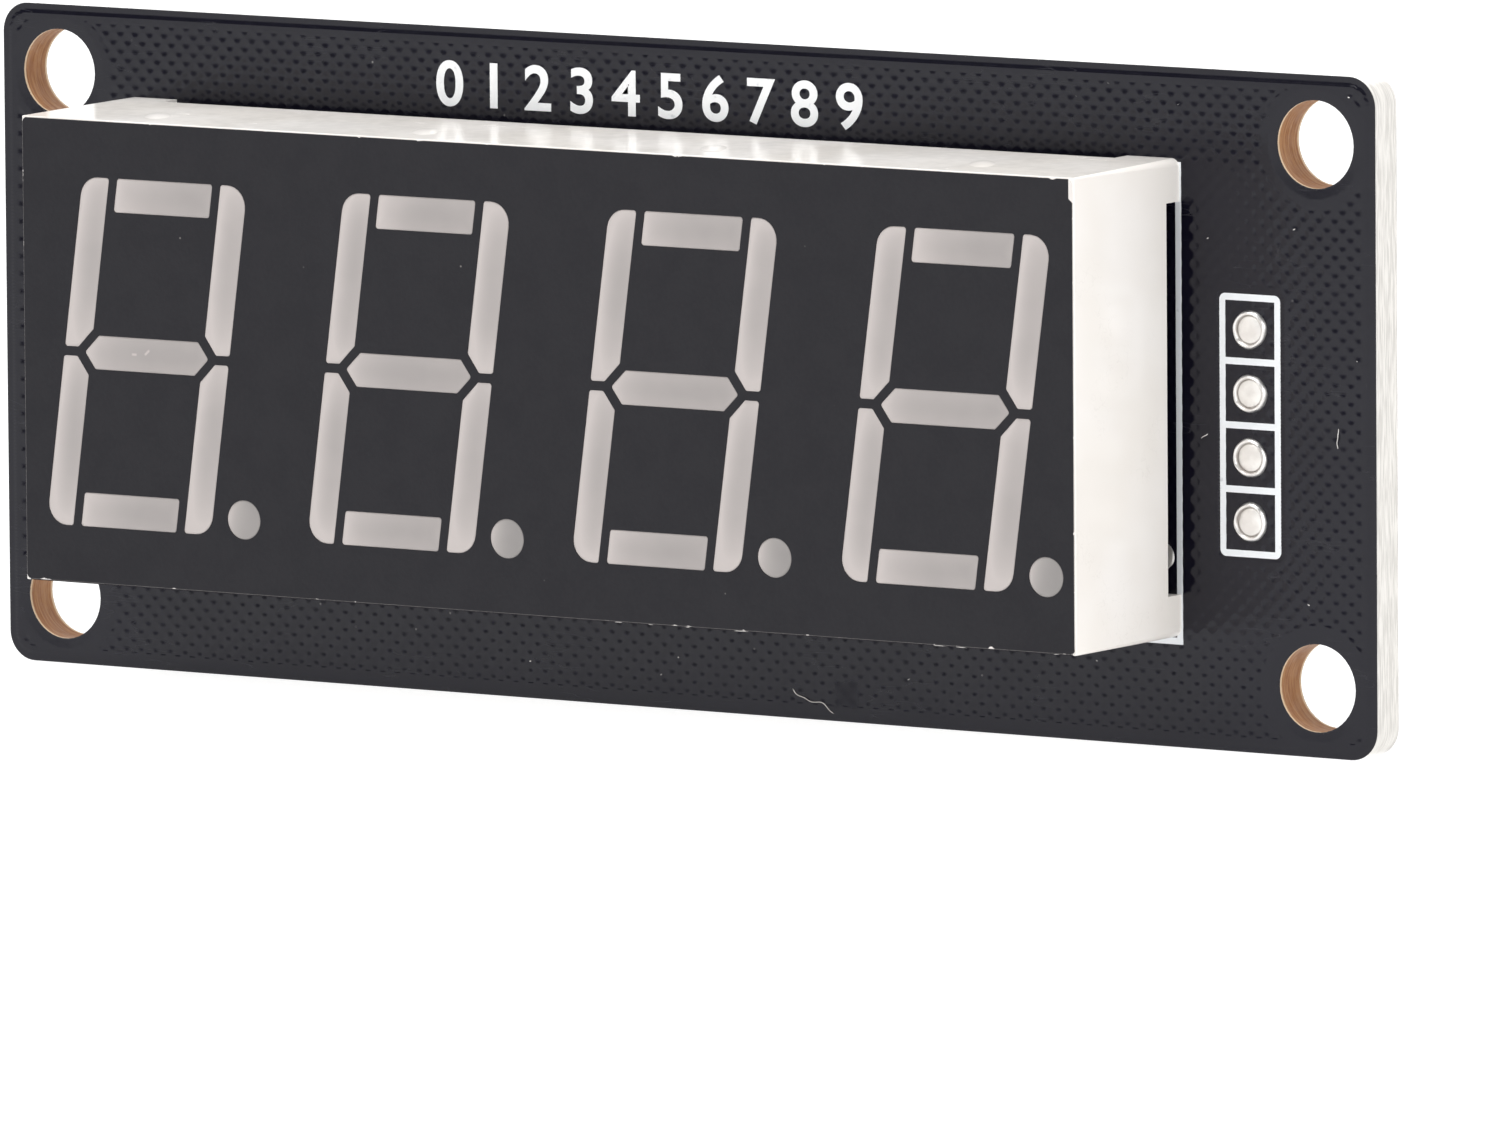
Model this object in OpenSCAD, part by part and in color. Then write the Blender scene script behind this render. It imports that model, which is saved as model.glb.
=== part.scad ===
// Four digit LED display soldered to a driver board, with a pin header behind.
// Every piece is drawn with the board lying flat and its face up, then stood upright:
// the face looks along -Y, +X is to the right and +Z is up.
// The origin is the middle of the four mounting holes, on the board's front face.

/* [Board] */
// Length of the driver board
board_w = 65.5; // [64:0.5:90]
// Height of the driver board
board_h = 27; // [26.5:0.5:45]
// Thickness of the laminate
board_t = 1.6; // [0.8:0.1:2.4]
// Radius of the board's corners
board_corner_r = 1.2; // [0.4:0.1:2]
// Distance of each mounting hole's centre from the two edges beside it
hole_inset = 2.75; // [2.4:0.05:3.5]
// Bore of the mounting holes
hole_d = 3.5; // [2.2:0.1:3.6]
// Thickness of the white print on the board
print_t = 0.03; // [0.02:0.01:0.1]
// Width of the printed lines
print_line = 0.27; // [0.15:0.01:0.4]
// How far the printed outline shows round the display
print_margin = 0.08; // [0.02:0.01:0.3]
// How far the printed outline sits below the display's middle
print_drop = 0.22; // [0:0.01:0.25]

/* [Display housing] */
// Distance between neighbouring digits
digit_pitch = 12.7; // [11.5:0.1:13]
// How much shorter the housing is than its digits' pitches
stack_gap = 0.5; // [0.2:0.1:1]
// Height of the housing
display_h = 19; // [17.5:0.1:20]
// Height of the display's face above the board
display_t = 7.73; // [7:0.01:12]
// Place of the display's middle along the board
display_x = -1.44; // [-2:0.01:1]
// Place of the display's middle up the board
display_y = 0.39; // [-1:0.01:1]
// How far each wall leans in from the back to the face
draft = 0.08; // [0:0.01:0.3]
// Rounding of the edges round the face
face_edge_r = 0.05; // [0.05:0.01:0.5]
// Rounding of the housing's four upright edges
housing_corner_r = 0.35; // [0.1:0.05:0.8]
// Thickness of the housing's walls
wall_t = 1; // [0.6:0.1:1.3]
// Depth of the pocket in the housing's back
pocket_d = 2.15; // [1.9:0.05:3]
// Height of the corner feet
foot_h = 0.95; // [0.6:0.05:1.6]
// Length of a foot along the long walls
foot_x = 2.4; // [1.5:0.1:5]
// Length of a foot along the short walls
foot_y = 1.7; // [1.3:0.1:4]
// Thickness of the black ink on the face
ink_t = 0.04; // [0.02:0.01:0.1]
// Bare edge that the ink leaves round the face
ink_margin = 0.05; // [0.05:0.01:0.5]

/* [Digits] */
// Height of a digit
digit_h = 14.2; // [12:0.1:14.6]
// Width of a digit before it is slanted
digit_w = 8.06; // [7:0.02:8.2]
// Lean of the digits in degrees
slant = 7.8; // [0:0.1:9]
// Height of the level bars
bar_h = 1.39; // [1:0.01:1.6]
// Width of the upright bars
upright_w = 1.32; // [1:0.01:1.6]
// Gap between neighbouring bars
bar_gap = 0.38; // [0.25:0.01:0.5]
// Length of the middle bar's points
tip_len = 0.6; // [0.4:0.05:0.8]
// How far the middle bar's points pass the inner edges of the upright bars
tip_reach = 0.31; // [0.1:0.01:0.4]
// Rounding of the digit's four outer corners
digit_corner_r = 0.86; // [0.3:0.02:1]
// Rounding of the bars' other corners
bar_corner_r = 0.12; // [0.05:0.01:0.2]
// Diameter of the decimal point
point_d = 1.6; // [1:0.1:1.7]
// Place of the point to the right of its digit's middle
point_x = 4.67; // [4.4:0.01:4.8]
// Place of the point below its digit's middle
point_drop = 6.38; // [5.8:0.01:6.6]

/* [Light wells] */
// Depth of the straight wall behind each window
well_land = 0.7; // [0.3:0.1:1.5]
// Width of a well at its back, round the chip
well_seat = 0.8; // [0.5:0.05:0.9]
// Side of an LED chip
chip_side = 0.28; // [0.2:0.02:0.4]
// Height of an LED chip
chip_t = 0.18; // [0.1:0.01:0.22]

/* [Carrier and resin] */
// Thickness of the carrier board that holds the chips
carrier_t = 1; // [0.6:0.1:1.2]
// Gap between the carrier and the housing's walls
carrier_gap = 0.2; // [0.1:0.05:0.5]
// Height of the ribs that the carrier rests on
seat_rib_h = 0.25; // [0.23:0.01:0.4]
// Width of those ribs
seat_rib_w = 0.8; // [0.5:0.1:1.2]
// Length of those ribs
seat_rib_l = 6; // [3:0.5:10]
// Depth of the resin's surface inside the back of the walls
resin_recess = 0.35; // [0.1:0.05:0.6]

/* [Display pins] */
// Diameter of a pin
pin_d = 0.5; // [0.4:0.05:0.6]
// Distance between neighbouring pins, also of the header
pin_pitch = 2.54; // [2:0.02:2.6]
// Distance of each row of pins from the housing's long side beside it
row_inset = 1.88; // [1.5:0.02:3]
// Length of a pin behind the board
pin_tail = 1.2; // [0.9:0.1:2]
// Bore of the pins' plated holes in the board
pin_hole_d = 0.9; // [0.7:0.05:1.1]
// Diameter of the solder on the board's back
fillet_d = 1.7; // [1.3:0.1:2]
// Height of the solder up a pin
fillet_h = 0.8; // [0.4:0.1:0.9]

/* [Header] */
// Distance of the header's row from the board's right edge
header_inset = 5.8; // [4.6:0.05:6.4]
// Place of the row's middle up the board
header_y = -0.53; // [-2:0.01:2]
// Side of a square header pin
header_pin_side = 0.64; // [0.5:0.02:0.7]
// Width of the insulator
header_body_w = 2.5; // [2:0.05:2.8]
// Height of the insulator
header_body_h = 2.54; // [1.8:0.02:3]
// Chamfer at the insulator's notches
header_notch = 0.6; // [0.3:0.05:0.8]
// Length of a pin past the insulator
header_reach = 5.9; // [4:0.1:6.4]
// Length of the pointed end of a pin
header_point = 0.6; // [0.3:0.1:1]
// Side of the flat on that pointed end
header_point_side = 0.32; // [0.2:0.02:0.44]
// Bore of the header's plated holes
header_hole_d = 1; // [0.95:0.01:1.1]
// Diameter of a solder joint on the face
joint_d = 1.54; // [1.3:0.02:1.8]
// Height of a joint's rim
joint_rim_h = 0.2; // [0.1:0.01:0.4]
// Height of the flat inside the rim
joint_flat_h = 0.12; // [0.06:0.01:0.3]
// Diameter of that flat
joint_flat_d = 1.04; // [0.92:0.02:1.2]
// Diameter of the spare tinned pad beside the display
spare_pad_d = 1.12; // [0.8:0.02:1.3]
// Height of the spare pad
spare_pad_h = 0.12; // [0.05:0.01:0.3]
// Distance of the spare pad from the header's row
spare_pad_left = 4.1; // [3.8:0.02:4.6]
// Height of the spare pad's middle above the foot beside it
spare_pad_rise = 1.48; // [0.8:0.02:3]

/* [Driver chip] */
// Length of the chip's body
ic_l = 12.8; // [12.6:0.1:14]
// Width of the chip's body
ic_w = 7.5; // [6.5:0.1:8]
// Thickness of the chip's body
ic_t = 2.3; // [1.6:0.1:2.6]
// Distance between the body and the nearest display pins
ic_pin_gap = 1.6; // [1.2:0.1:3]
// Gap between the body and the board
ic_standoff = 0.15; // [0.1:0.05:0.3]
// How far the body's sides lean in to its two faces
ic_draft = 0.14; // [0:0.01:0.25]
// Distance between neighbouring leads
lead_pitch = 1.27; // [1.1:0.01:1.3]
// Width of a lead
lead_w = 0.42; // [0.3:0.02:0.5]
// Thickness of a lead
lead_t = 0.25; // [0.15:0.01:0.3]
// Distance over the tips of two opposite leads
lead_span = 10.3; // [10:0.1:11]
// Length of a lead's foot
lead_foot = 0.75; // [0.5:0.05:0.9]
// How deep a lead sits in the body
lead_root = 0.4; // [0.2:0.05:0.6]
// Inside radius of a lead's bends
lead_bend_r = 0.1; // [0.05:0.01:0.12]
// Thickness of the solder under a foot
lead_solder_t = 0.06; // [0.03:0.01:0.1]
// How far the solder shows past a foot
lead_solder_margin = 0.3; // [0.1:0.05:0.4]
// Solder on each side of a foot
lead_solder_side = 0.08; // [0.04:0.01:0.12]
// How high the solder climbs a foot
lead_solder_rise = 0.16; // [0.05:0.01:0.24]
// Diameter of the dimple that marks the first lead
dimple_d = 1.1; // [0.6:0.1:1.4]
// Depth of the dimple
dimple_t = 0.1; // [0.05:0.01:0.2]
// Place of the dimple from the two sides beside it
dimple_in = 1.3; // [1:0.1:1.6]

/* [Resistors and capacitors] */
// Length of a resistor
resistor_l = 1.6; // [1.4:0.1:2]
// Width of a resistor
resistor_w = 0.8; // [0.6:0.05:1]
// Thickness of a resistor
resistor_t = 0.45; // [0.3:0.05:0.6]
// Length of a capacitor
capacitor_l = 2; // [1.6:0.1:2.2]
// Width of a capacitor
capacitor_w = 1.25; // [0.8:0.05:1.4]
// Thickness of a capacitor
capacitor_t = 0.95; // [0.6:0.05:1.2]
// Length of an end cap
cap_l = 0.38; // [0.25:0.01:0.5]
// How much an end cap stands out round its body
cap_step = 0.03; // [0.01:0.01:0.05]
// Length of the solder at an end cap
chip_solder_l = 0.4; // [0.2:0.05:0.6]
// Thickness of the solder under an end cap
chip_solder_t = 0.05; // [0.03:0.01:0.1]
// Distance between neighbouring small parts
small_pitch = 2.6; // [2:0.1:3.2]
// Distance between the first small part and the nearest display pins
small_gap = 2.4; // [1.6:0.1:3]

/* [Hidden] */
$fn = 48;
digit_count = 4;
segment_count = 7;
pins_per_row = 6;
pin_count = 2 * pins_per_row;
header_count = 4;
small_count = 2;
lead_rows = 2;
leads_per_row = 10;
fine_steps = 3;
corner_steps = 8;
fillet_steps = 6;
cut = 1;

display_w = digit_count * digit_pitch - stack_gap;
face_w = display_w - 2 * draft;
face_h = display_h - 2 * draft;
housing_top = display_t - ink_t;
cavity_w = display_w - 2 * wall_t;
cavity_h = display_h - 2 * wall_t;
foot_top = print_t + foot_h;
cavity_top = foot_top + pocket_d;
web_t = housing_top - cavity_top;
resin_bottom = foot_top + resin_recess;
carrier_top = cavity_top - seat_rib_h;
carrier_bottom = carrier_top - carrier_t;
carrier_w = cavity_w - 2 * carrier_gap;
carrier_h = cavity_h - 2 * carrier_gap;
cavity_corner_r = housing_corner_r;
ink_corner_r = max(housing_corner_r - draft - ink_margin, ink_t);
header_x = board_w / 2 - header_inset;
row_span = display_h - 2 * row_inset;
row_l = (pins_per_row - 1) * pin_pitch;
ic_x = display_x - row_l / 2 - ic_pin_gap - ic_l / 2;

// Half sizes of a digit before it is slanted, and the ends of its bars
half_w = digit_w / 2;
half_h = digit_h / 2;
half_gap = bar_gap / 2;
upright_in = half_w - upright_w;
level_end = upright_in - bar_gap;
tip_end = upright_in + tip_reach;
tip_side = norm([bar_h / 2, tip_len]);
tip_normal = [bar_h / 2, tip_len] / tip_side;
flat_end = tip_end + (bar_gap - tip_normal.y * half_gap) / tip_normal.x;
chamfer_end = (bar_gap + tip_normal.x * (tip_end - upright_in)) / tip_normal.y;

SINGLE_NODES = [
    "driver_board", "board_print", "display_housing", "face_ink", "resin_fill", "carrier_board",
    "led_chips", "display_pin_solder", "spare_pad", "header_body", "driver_chip_body",
    "driver_chip_leads", "driver_chip_solder", "small_part_solder"
];

// Points of an outline

function unit(v) = v / norm(v);

function turned(v, angle) = [v.x * cos(angle) - v.y * sin(angle), v.x * sin(angle) + v.y * cos(angle)];

// Arc of radius r in the corner at p between the sides towards a and b
function corner_arc(a, p, b, r, steps) =
    r == 0 ? [p]
    : let (
        u = unit(a - p),
        v = unit(b - p),
        half = acos(u * v) / 2,
        centre = p + unit(u + v) * r / sin(half),
        start = p + u * r / tan(half) - centre,
        finish = p + v * r / tan(half) - centre,
        sweep = sign(cross(start, finish)) * (180 - 2 * half)
    )
    [for (k = [0:steps]) centre + turned(start, sweep * k / steps)];

// Closed outline with an arc of its own radius in each corner
function rounded(points, radii, steps) =
    let (n = len(points))
    [
        for (i = [0:n - 1])
            each corner_arc(points[(i + n - 1) % n], points[i], points[(i + 1) % n], radii[i], steps)
    ];

// Bars of a digit, numbered 0 top, 1 upper right, 2 lower right, 3 bottom, 4 lower left,
// 5 upper left and 6 middle

function slanted(p) = [p.x + p.y * tan(slant), p.y];

function mirrored(points, sx, sy) = [for (p = points) [sx * p.x, sy * p.y]];

function is_upright(k) = k == 1 || k == 2 || k == 4 || k == 5;

function bar_side(k) = k < 3 ? 1 : -1;

function bar_level(k) = k == 2 || k == 3 || k == 4 ? -1 : 1;

function upright_points() = [
    [upright_in, chamfer_end], [flat_end, half_gap], [half_w, half_gap],
    [half_w, half_h], [upright_in, half_h]
];

function level_points() = [
    [-level_end, half_h - bar_h], [level_end, half_h - bar_h], [level_end, half_h], [-level_end, half_h]
];

function middle_points() =
    let (shoulder = tip_end - tip_len)
    [
        [-tip_end, 0], [-shoulder, -bar_h / 2], [shoulder, -bar_h / 2],
        [tip_end, 0], [shoulder, bar_h / 2], [-shoulder, bar_h / 2]
    ];

function bar_points(k) =
    is_upright(k) ? mirrored(upright_points(), bar_side(k), bar_level(k))
    : k == 6 ? middle_points()
    : mirrored(level_points(), 1, bar_level(k));

function bar_radii(k) =
    is_upright(k) ? [bar_corner_r, bar_corner_r, bar_corner_r, digit_corner_r, bar_corner_r]
    : [for (p = bar_points(k)) bar_corner_r];

function bar_outline(k) =
    rounded([for (p = bar_points(k)) slanted(p)], bar_radii(k), is_upright(k) ? corner_steps : fine_steps);

function bar_centre(k) =
    is_upright(k) ? slanted([bar_side(k) * (half_w - upright_w / 2), bar_level(k) * (half_h + half_gap) / 2])
    : k == 6 ? [0, 0]
    : slanted([0, bar_level(k) * (half_h - bar_h / 2)]);

// Width across and length along a bar, for the well behind it
function bar_size(k) =
    is_upright(k) ? [upright_w, (half_h - half_gap) / cos(slant) + upright_w * tan(slant)]
    : [2 * (k == 6 ? tip_end : level_end) + bar_h * tan(slant), bar_h];

function digit_x(d) = (d - (digit_count - 1) / 2) * digit_pitch;

function pin_place(k) =
    let (row = k <= pins_per_row ? -1 : 1, column = (k - 1) % pins_per_row)
    [display_x + column * pin_pitch - row_l / 2, display_y + row * row_span / 2];

function header_place(k) = [header_x, header_y + ((header_count + 1) / 2 - k) * pin_pitch];

// Common shapes

module upright() {
    rotate([90, 0, 0]) children();
}

// Stands a shape on the board's back, its height pointing away from the board
module behind() {
    upright() translate([0, 0, -board_t]) mirror([0, 0, 1]) children();
}

module in_display() {
    upright() translate([display_x, display_y, 0]) children();
}

module rounded_square(w, h, r) {
    square([w - 2 * r, h], center = true);
    square([w, h - 2 * r], center = true);
    for (sx = [-1, 1], sy = [-1, 1])
        translate([sx * (w / 2 - r), sy * (h / 2 - r)]) circle(r);
}

// Block from a lower w0 by h0 to an upper w1 by h1, its upper edges rounded
module tapered_block(w0, h0, w1, h1, t, edge_r = 0) {
    intersection() {
        rotate([90, 0, 0])
            linear_extrude(max(h0, h1) + cut, center = true) side_profile(w0, w1, t, edge_r);
        rotate([90, 0, 90])
            linear_extrude(max(w0, w1) + cut, center = true) side_profile(h0, h1, t, edge_r);
    }
}

module side_profile(base, top, t, edge_r) {
    foot = [[-base / 2, 0], [base / 2, 0]];
    head = [[top / 2, t], [-top / 2, t]];
    if (edge_r > 0)
        polygon(concat(
            foot,
            corner_arc(foot[1], head[0], head[1], edge_r, fine_steps),
            corner_arc(head[0], head[1], foot[0], edge_r, fine_steps)
        ));
    else
        polygon(concat(foot, head));
}

// Driver board

module mounting_holes() {
    for (sx = [-1, 1], sy = [-1, 1])
        translate([sx * (board_w / 2 - hole_inset), sy * (board_h / 2 - hole_inset)]) circle(d = hole_d);
}

module driver_board() {
    color("#26262a") upright() translate([0, 0, -board_t]) linear_extrude(board_t) difference() {
        rounded_square(board_w, board_h, board_corner_r);
        mounting_holes();
        for (k = [1:pin_count]) translate(pin_place(k)) circle(d = pin_hole_d);
        for (k = [1:header_count]) translate(header_place(k)) circle(d = header_hole_d);
    }
}

module header_frame() {
    difference() {
        translate([header_x, header_y])
            rounded_square(pin_pitch + print_line, header_count * pin_pitch + print_line, print_line);
        for (k = [1:header_count])
            translate(header_place(k)) square(pin_pitch - print_line, center = true);
    }
}

module display_frame() {
    outer_w = display_w + 2 * print_margin;
    outer_h = display_h + 2 * print_margin;
    translate([display_x, display_y - print_drop]) difference() {
        square([outer_w, outer_h], center = true);
        square([outer_w - 2 * print_line, outer_h - 2 * print_line], center = true);
    }
}

module board_print() {
    color("#eef2f6") upright() linear_extrude(print_t) {
        header_frame();
        display_frame();
    }
}

module spare_pad() {
    place = [header_x - spare_pad_left, display_y - display_h / 2 + foot_y + spare_pad_rise];
    dome = [
        for (k = [0:fillet_steps])
            let (angle = 90 * k / fillet_steps)
            [spare_pad_d / 2 * cos(angle), spare_pad_h * sin(angle)]
    ];
    color("#b9b9b6") upright() translate(place) rotate_extrude() polygon(concat([[0, 0]], dome));
}

// Display

module windows() {
    for (d = [0:digit_count - 1]) translate([digit_x(d), 0]) {
        for (k = [0:segment_count - 1]) polygon(bar_outline(k));
        translate([point_x, -point_drop]) circle(d = point_d);
    }
}

// A bar's well: its window carried back, narrowed to the seat round the chip
module bar_well(k) {
    size = bar_size(k);
    taper_h = web_t - well_land;
    spread = (size - [well_seat, well_seat]) * web_t / taper_h;
    intersection() {
        linear_extrude(web_t) polygon(bar_outline(k));
        translate(bar_centre(k)) rotate([0, 0, is_upright(k) ? -slant : 0])
            tapered_block(well_seat, well_seat, well_seat + spread.x, well_seat + spread.y, web_t);
    }
}

module point_well() {
    taper_h = web_t - well_land;
    cylinder(h = taper_h, d1 = well_seat, d2 = point_d);
    translate([0, 0, taper_h]) cylinder(h = well_land, d = point_d);
}

module wells() {
    translate([0, 0, cavity_top]) for (d = [0:digit_count - 1]) translate([digit_x(d), 0, 0]) {
        for (k = [0:segment_count - 1]) bar_well(k);
        translate([point_x, -point_drop, 0]) point_well();
    }
}

// Room behind the web, from the given height up
module cavity(bottom) {
    translate([0, 0, bottom])
        linear_extrude(cavity_top - bottom) rounded_square(cavity_w, cavity_h, cavity_corner_r);
}

module seat_ribs() {
    rib_x = carrier_w / 2 - seat_rib_w / 2;
    for (sx = [-1, 1])
        translate([sx * rib_x, 0, carrier_top + seat_rib_h / 2])
            cube([seat_rib_w, seat_rib_l, seat_rib_h], center = true);
}

// Slots under the walls, which leave the four corner feet
module under_walls() {
    translate([0, 0, foot_top / 2]) {
        cube([display_w - 2 * foot_x, display_h + cut, foot_top], center = true);
        cube([display_w + cut, display_h - 2 * foot_y, foot_top], center = true);
    }
}

module display_housing() {
    color("#f3efe9") in_display() {
        difference() {
            intersection() {
                translate([0, 0, print_t])
                    tapered_block(display_w, display_h, face_w, face_h, housing_top - print_t, face_edge_r);
                linear_extrude(housing_top) rounded_square(display_w, display_h, housing_corner_r);
            }
            under_walls();
            cavity(0);
            wells();
        }
        seat_ribs();
    }
}

module face_ink() {
    color("#37373b") in_display() translate([0, 0, housing_top]) linear_extrude(ink_t) difference() {
        rounded_square(face_w - 2 * ink_margin, face_h - 2 * ink_margin, ink_corner_r);
        windows();
    }
}

module carrier() {
    translate([0, 0, carrier_bottom + carrier_t / 2]) cube([carrier_w, carrier_h, carrier_t], center = true);
}

module carrier_board() {
    color("#c8b98a") difference() {
        in_display() carrier();
        for (k = [1:pin_count]) display_pin(k);
    }
}

module chips() {
    chip = [chip_side, chip_side, chip_t];
    for (d = [0:digit_count - 1]) translate([digit_x(d), 0, carrier_top + chip_t / 2]) {
        for (k = [0:segment_count - 1]) translate(bar_centre(k)) cube(chip, center = true);
        translate([point_x, -point_drop, 0]) cube(chip, center = true);
    }
}

module led_chips() {
    color("#c9a63c") in_display() chips();
}

module resin_fill() {
    color("#d2cac6") difference() {
        in_display() {
            wells();
            cavity(resin_bottom);
        }
        in_display() {
            carrier();
            seat_ribs();
            chips();
        }
        for (k = [1:pin_count]) display_pin(k);
    }
}

module display_pin(k) {
    length = carrier_top + board_t + pin_tail;
    color("#c9c9c6") upright() translate(pin_place(k)) translate([0, 0, carrier_top - length])
        cylinder(d = pin_d, h = length);
}

// Solder that fills a plated hole and climbs the pin behind the board in a hollow curve
module pin_solder() {
    pin_r = pin_d / 2;
    fillet_r = fillet_d / 2;
    climb = [
        for (k = [0:fillet_steps])
            let (angle = 90 * k / fillet_steps)
            [fillet_r - (fillet_r - pin_r) * sin(angle), -board_t - fillet_h * (1 - cos(angle))]
    ];
    rotate_extrude() polygon(concat([[pin_r, 0], [pin_hole_d / 2, 0], [pin_hole_d / 2, -board_t]], climb));
}

module display_pin_solder() {
    color("#d9d9d6") for (k = [1:pin_count]) upright() translate(pin_place(k)) pin_solder();
}

// Header

module header_body() {
    half = [header_body_w / 2, pin_pitch / 2];
    cell = [
        [-half.x, -half.y + header_notch], [-half.x + header_notch, -half.y],
        [half.x - header_notch, -half.y], [half.x, -half.y + header_notch],
        [half.x, half.y - header_notch], [half.x - header_notch, half.y],
        [-half.x + header_notch, half.y], [-half.x, half.y - header_notch]
    ];
    color("#202023") behind() linear_extrude(header_body_h) difference() {
        for (k = [1:header_count]) translate(header_place(k)) polygon(cell);
        for (k = [1:header_count]) translate(header_place(k)) square(header_pin_side, center = true);
    }
}

module header_pin(k) {
    side = header_pin_side;
    shank = board_t + header_body_h + header_reach - header_point;
    color("#d8b656") upright() translate(header_place(k)) mirror([0, 0, 1]) {
        translate([0, 0, shank / 2]) cube([side, side, shank], center = true);
        translate([0, 0, shank])
            tapered_block(side, side, header_point_side, header_point_side, header_point);
    }
}

// Solder that fills a header hole and ends on the face in a low rim round a flat
module header_solder(k) {
    rim_r = (joint_d + joint_flat_d) / 4;
    rim_half = (joint_d - joint_flat_d) / 4;
    hole_r = header_hole_d / 2;
    bottom = [[0, -board_t], [hole_r, -board_t], [hole_r, 0]];
    rim = [
        for (k = [0:fillet_steps])
            let (angle = 180 * k / fillet_steps, base = joint_flat_h / 2)
            [rim_r + rim_half * cos(angle), base * (1 - cos(angle)) + (joint_rim_h - base) * sin(angle)]
    ];
    color("#e4e3df") difference() {
        upright() translate(header_place(k))
            rotate_extrude() polygon(concat(bottom, rim, [[0, joint_flat_h]]));
        header_pin(k);
    }
}

// Driver chip

// Runs its children at each lead's place, with X out of the body and Y along the row
module at_leads() {
    for (row = [0:lead_rows - 1], k = [0:leads_per_row - 1])
        translate([ic_x, display_y, 0])
            rotate([0, 0, 90 + 180 * row])
                translate([0, (k - (leads_per_row - 1) / 2) * lead_pitch, 0]) children();
}

module across_lead(w) {
    rotate([90, 0, 0]) linear_extrude(w, center = true) children();
}

module lead() {
    tip = lead_span / 2;
    root = ic_w / 2 - lead_root;
    shoulder = ic_standoff + ic_t / 2 - lead_t / 2;
    heel = tip - lead_foot;
    bend = (ic_w / 2 + heel) / 2;
    low = lead_solder_t;
    points = [
        [root, shoulder], [bend, shoulder], [heel, low], [tip, low],
        [tip, low + lead_t], [heel + lead_t, low + lead_t],
        [bend + lead_t, shoulder + lead_t], [root, shoulder + lead_t]
    ];
    inner = lead_bend_r;
    outer = lead_bend_r + lead_t;
    across_lead(lead_w) polygon(rounded(points, [0, inner, outer, 0, 0, inner, outer, 0], fine_steps));
}

module driver_chip_leads() {
    color("#c6c7c8") behind() at_leads() lead();
}

module driver_chip_solder() {
    tip = lead_span / 2;
    heel = tip - lead_foot;
    margin = lead_solder_margin;
    color("#d9d9d6") behind() at_leads() difference() {
        across_lead(lead_w + 2 * lead_solder_side) polygon([
            [heel - margin, 0], [tip + margin, 0],
            [tip, lead_solder_t + lead_solder_rise], [heel, lead_solder_t + lead_solder_rise]
        ]);
        lead();
    }
}

module driver_chip_body() {
    half_t = ic_t / 2;
    color("#232326") behind() difference() {
        translate([ic_x, display_y, ic_standoff + half_t]) for (side = [0, 1]) mirror([0, 0, side])
            tapered_block(ic_l, ic_w, ic_l - 2 * ic_draft, ic_w - 2 * ic_draft, half_t);
        translate([
            ic_x - ic_l / 2 + dimple_in,
            display_y - ic_w / 2 + dimple_in,
            ic_standoff + ic_t - dimple_t
        ])
            cylinder(d = dimple_d, h = dimple_t + cut);
        at_leads() lead();
    }
}

// Small parts on the other side of the display pins

function small_x(column) = display_x + row_l / 2 + small_gap + column * small_pitch;

module chip_body(size) {
    translate([0, 0, chip_solder_t + size.z / 2])
        cube([size.x - 2 * cap_step, size.y - 2 * cap_l, size.z - 2 * cap_step], center = true);
}

module chip_caps(size) {
    for (sy = [-1, 1])
        translate([0, sy * (size.y - cap_l) / 2, chip_solder_t + size.z / 2])
            cube([size.x, cap_l, size.z], center = true);
}

// Solder under each end cap, rising against its end
module chip_solder(size) {
    rise = size.z / 2;
    for (side = [0, 1]) mirror([0, side, 0])
        rotate([90, 0, 90]) linear_extrude(size.x, center = true) polygon([
            [size.y / 2 - cap_l, 0], [size.y / 2 + chip_solder_l, 0], [size.y / 2, rise],
            [size.y / 2, chip_solder_t], [size.y / 2 - cap_l, chip_solder_t]
        ]);
}

resistor_size = [resistor_w, resistor_l, resistor_t];
capacitor_size = [capacitor_w, capacitor_l, capacitor_t];

module at_capacitor(k) {
    behind() translate([small_x(k - 1), display_y, 0]) children();
}

module at_resistor(k) {
    behind() translate([small_x(k - 1 + small_count), display_y, 0]) children();
}

module resistor_body(k) {
    color("#2a2a2c") at_resistor(k) chip_body(resistor_size);
}

module resistor_caps(k) {
    color("#cfcfcd") at_resistor(k) chip_caps(resistor_size);
}

module capacitor_body(k) {
    color("#a98763") at_capacitor(k) chip_body(capacitor_size);
}

module capacitor_caps(k) {
    color("#cfcfcd") at_capacitor(k) chip_caps(capacitor_size);
}

module small_part_solder() {
    color("#d9d9d6") for (k = [1:small_count]) {
        at_resistor(k) chip_solder(resistor_size);
        at_capacitor(k) chip_solder(capacitor_size);
    }
}

driver_board();
board_print();
display_housing();
face_ink();
resin_fill();
carrier_board();
led_chips();
display_pin_solder();
spare_pad();
header_body();
driver_chip_body();
driver_chip_leads();
driver_chip_solder();
small_part_solder();
for (k = [1:pin_count])
    display_pin(k);
for (k = [1:header_count])
    header_pin(k);
for (k = [1:header_count])
    header_solder(k);
for (k = [1:small_count])
    resistor_body(k);
for (k = [1:small_count])
    resistor_caps(k);
for (k = [1:small_count])
    capacitor_body(k);
for (k = [1:small_count])
    capacitor_caps(k);
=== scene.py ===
"""Fine pieces, finishes and studio of a four digit display module on its driver board.

Lengths are millimetres in the part's own frame: X to the right, Y to the back, Z up, with the
board's front face at Y = 0. make_piece turns them into metres.
"""

import math

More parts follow.
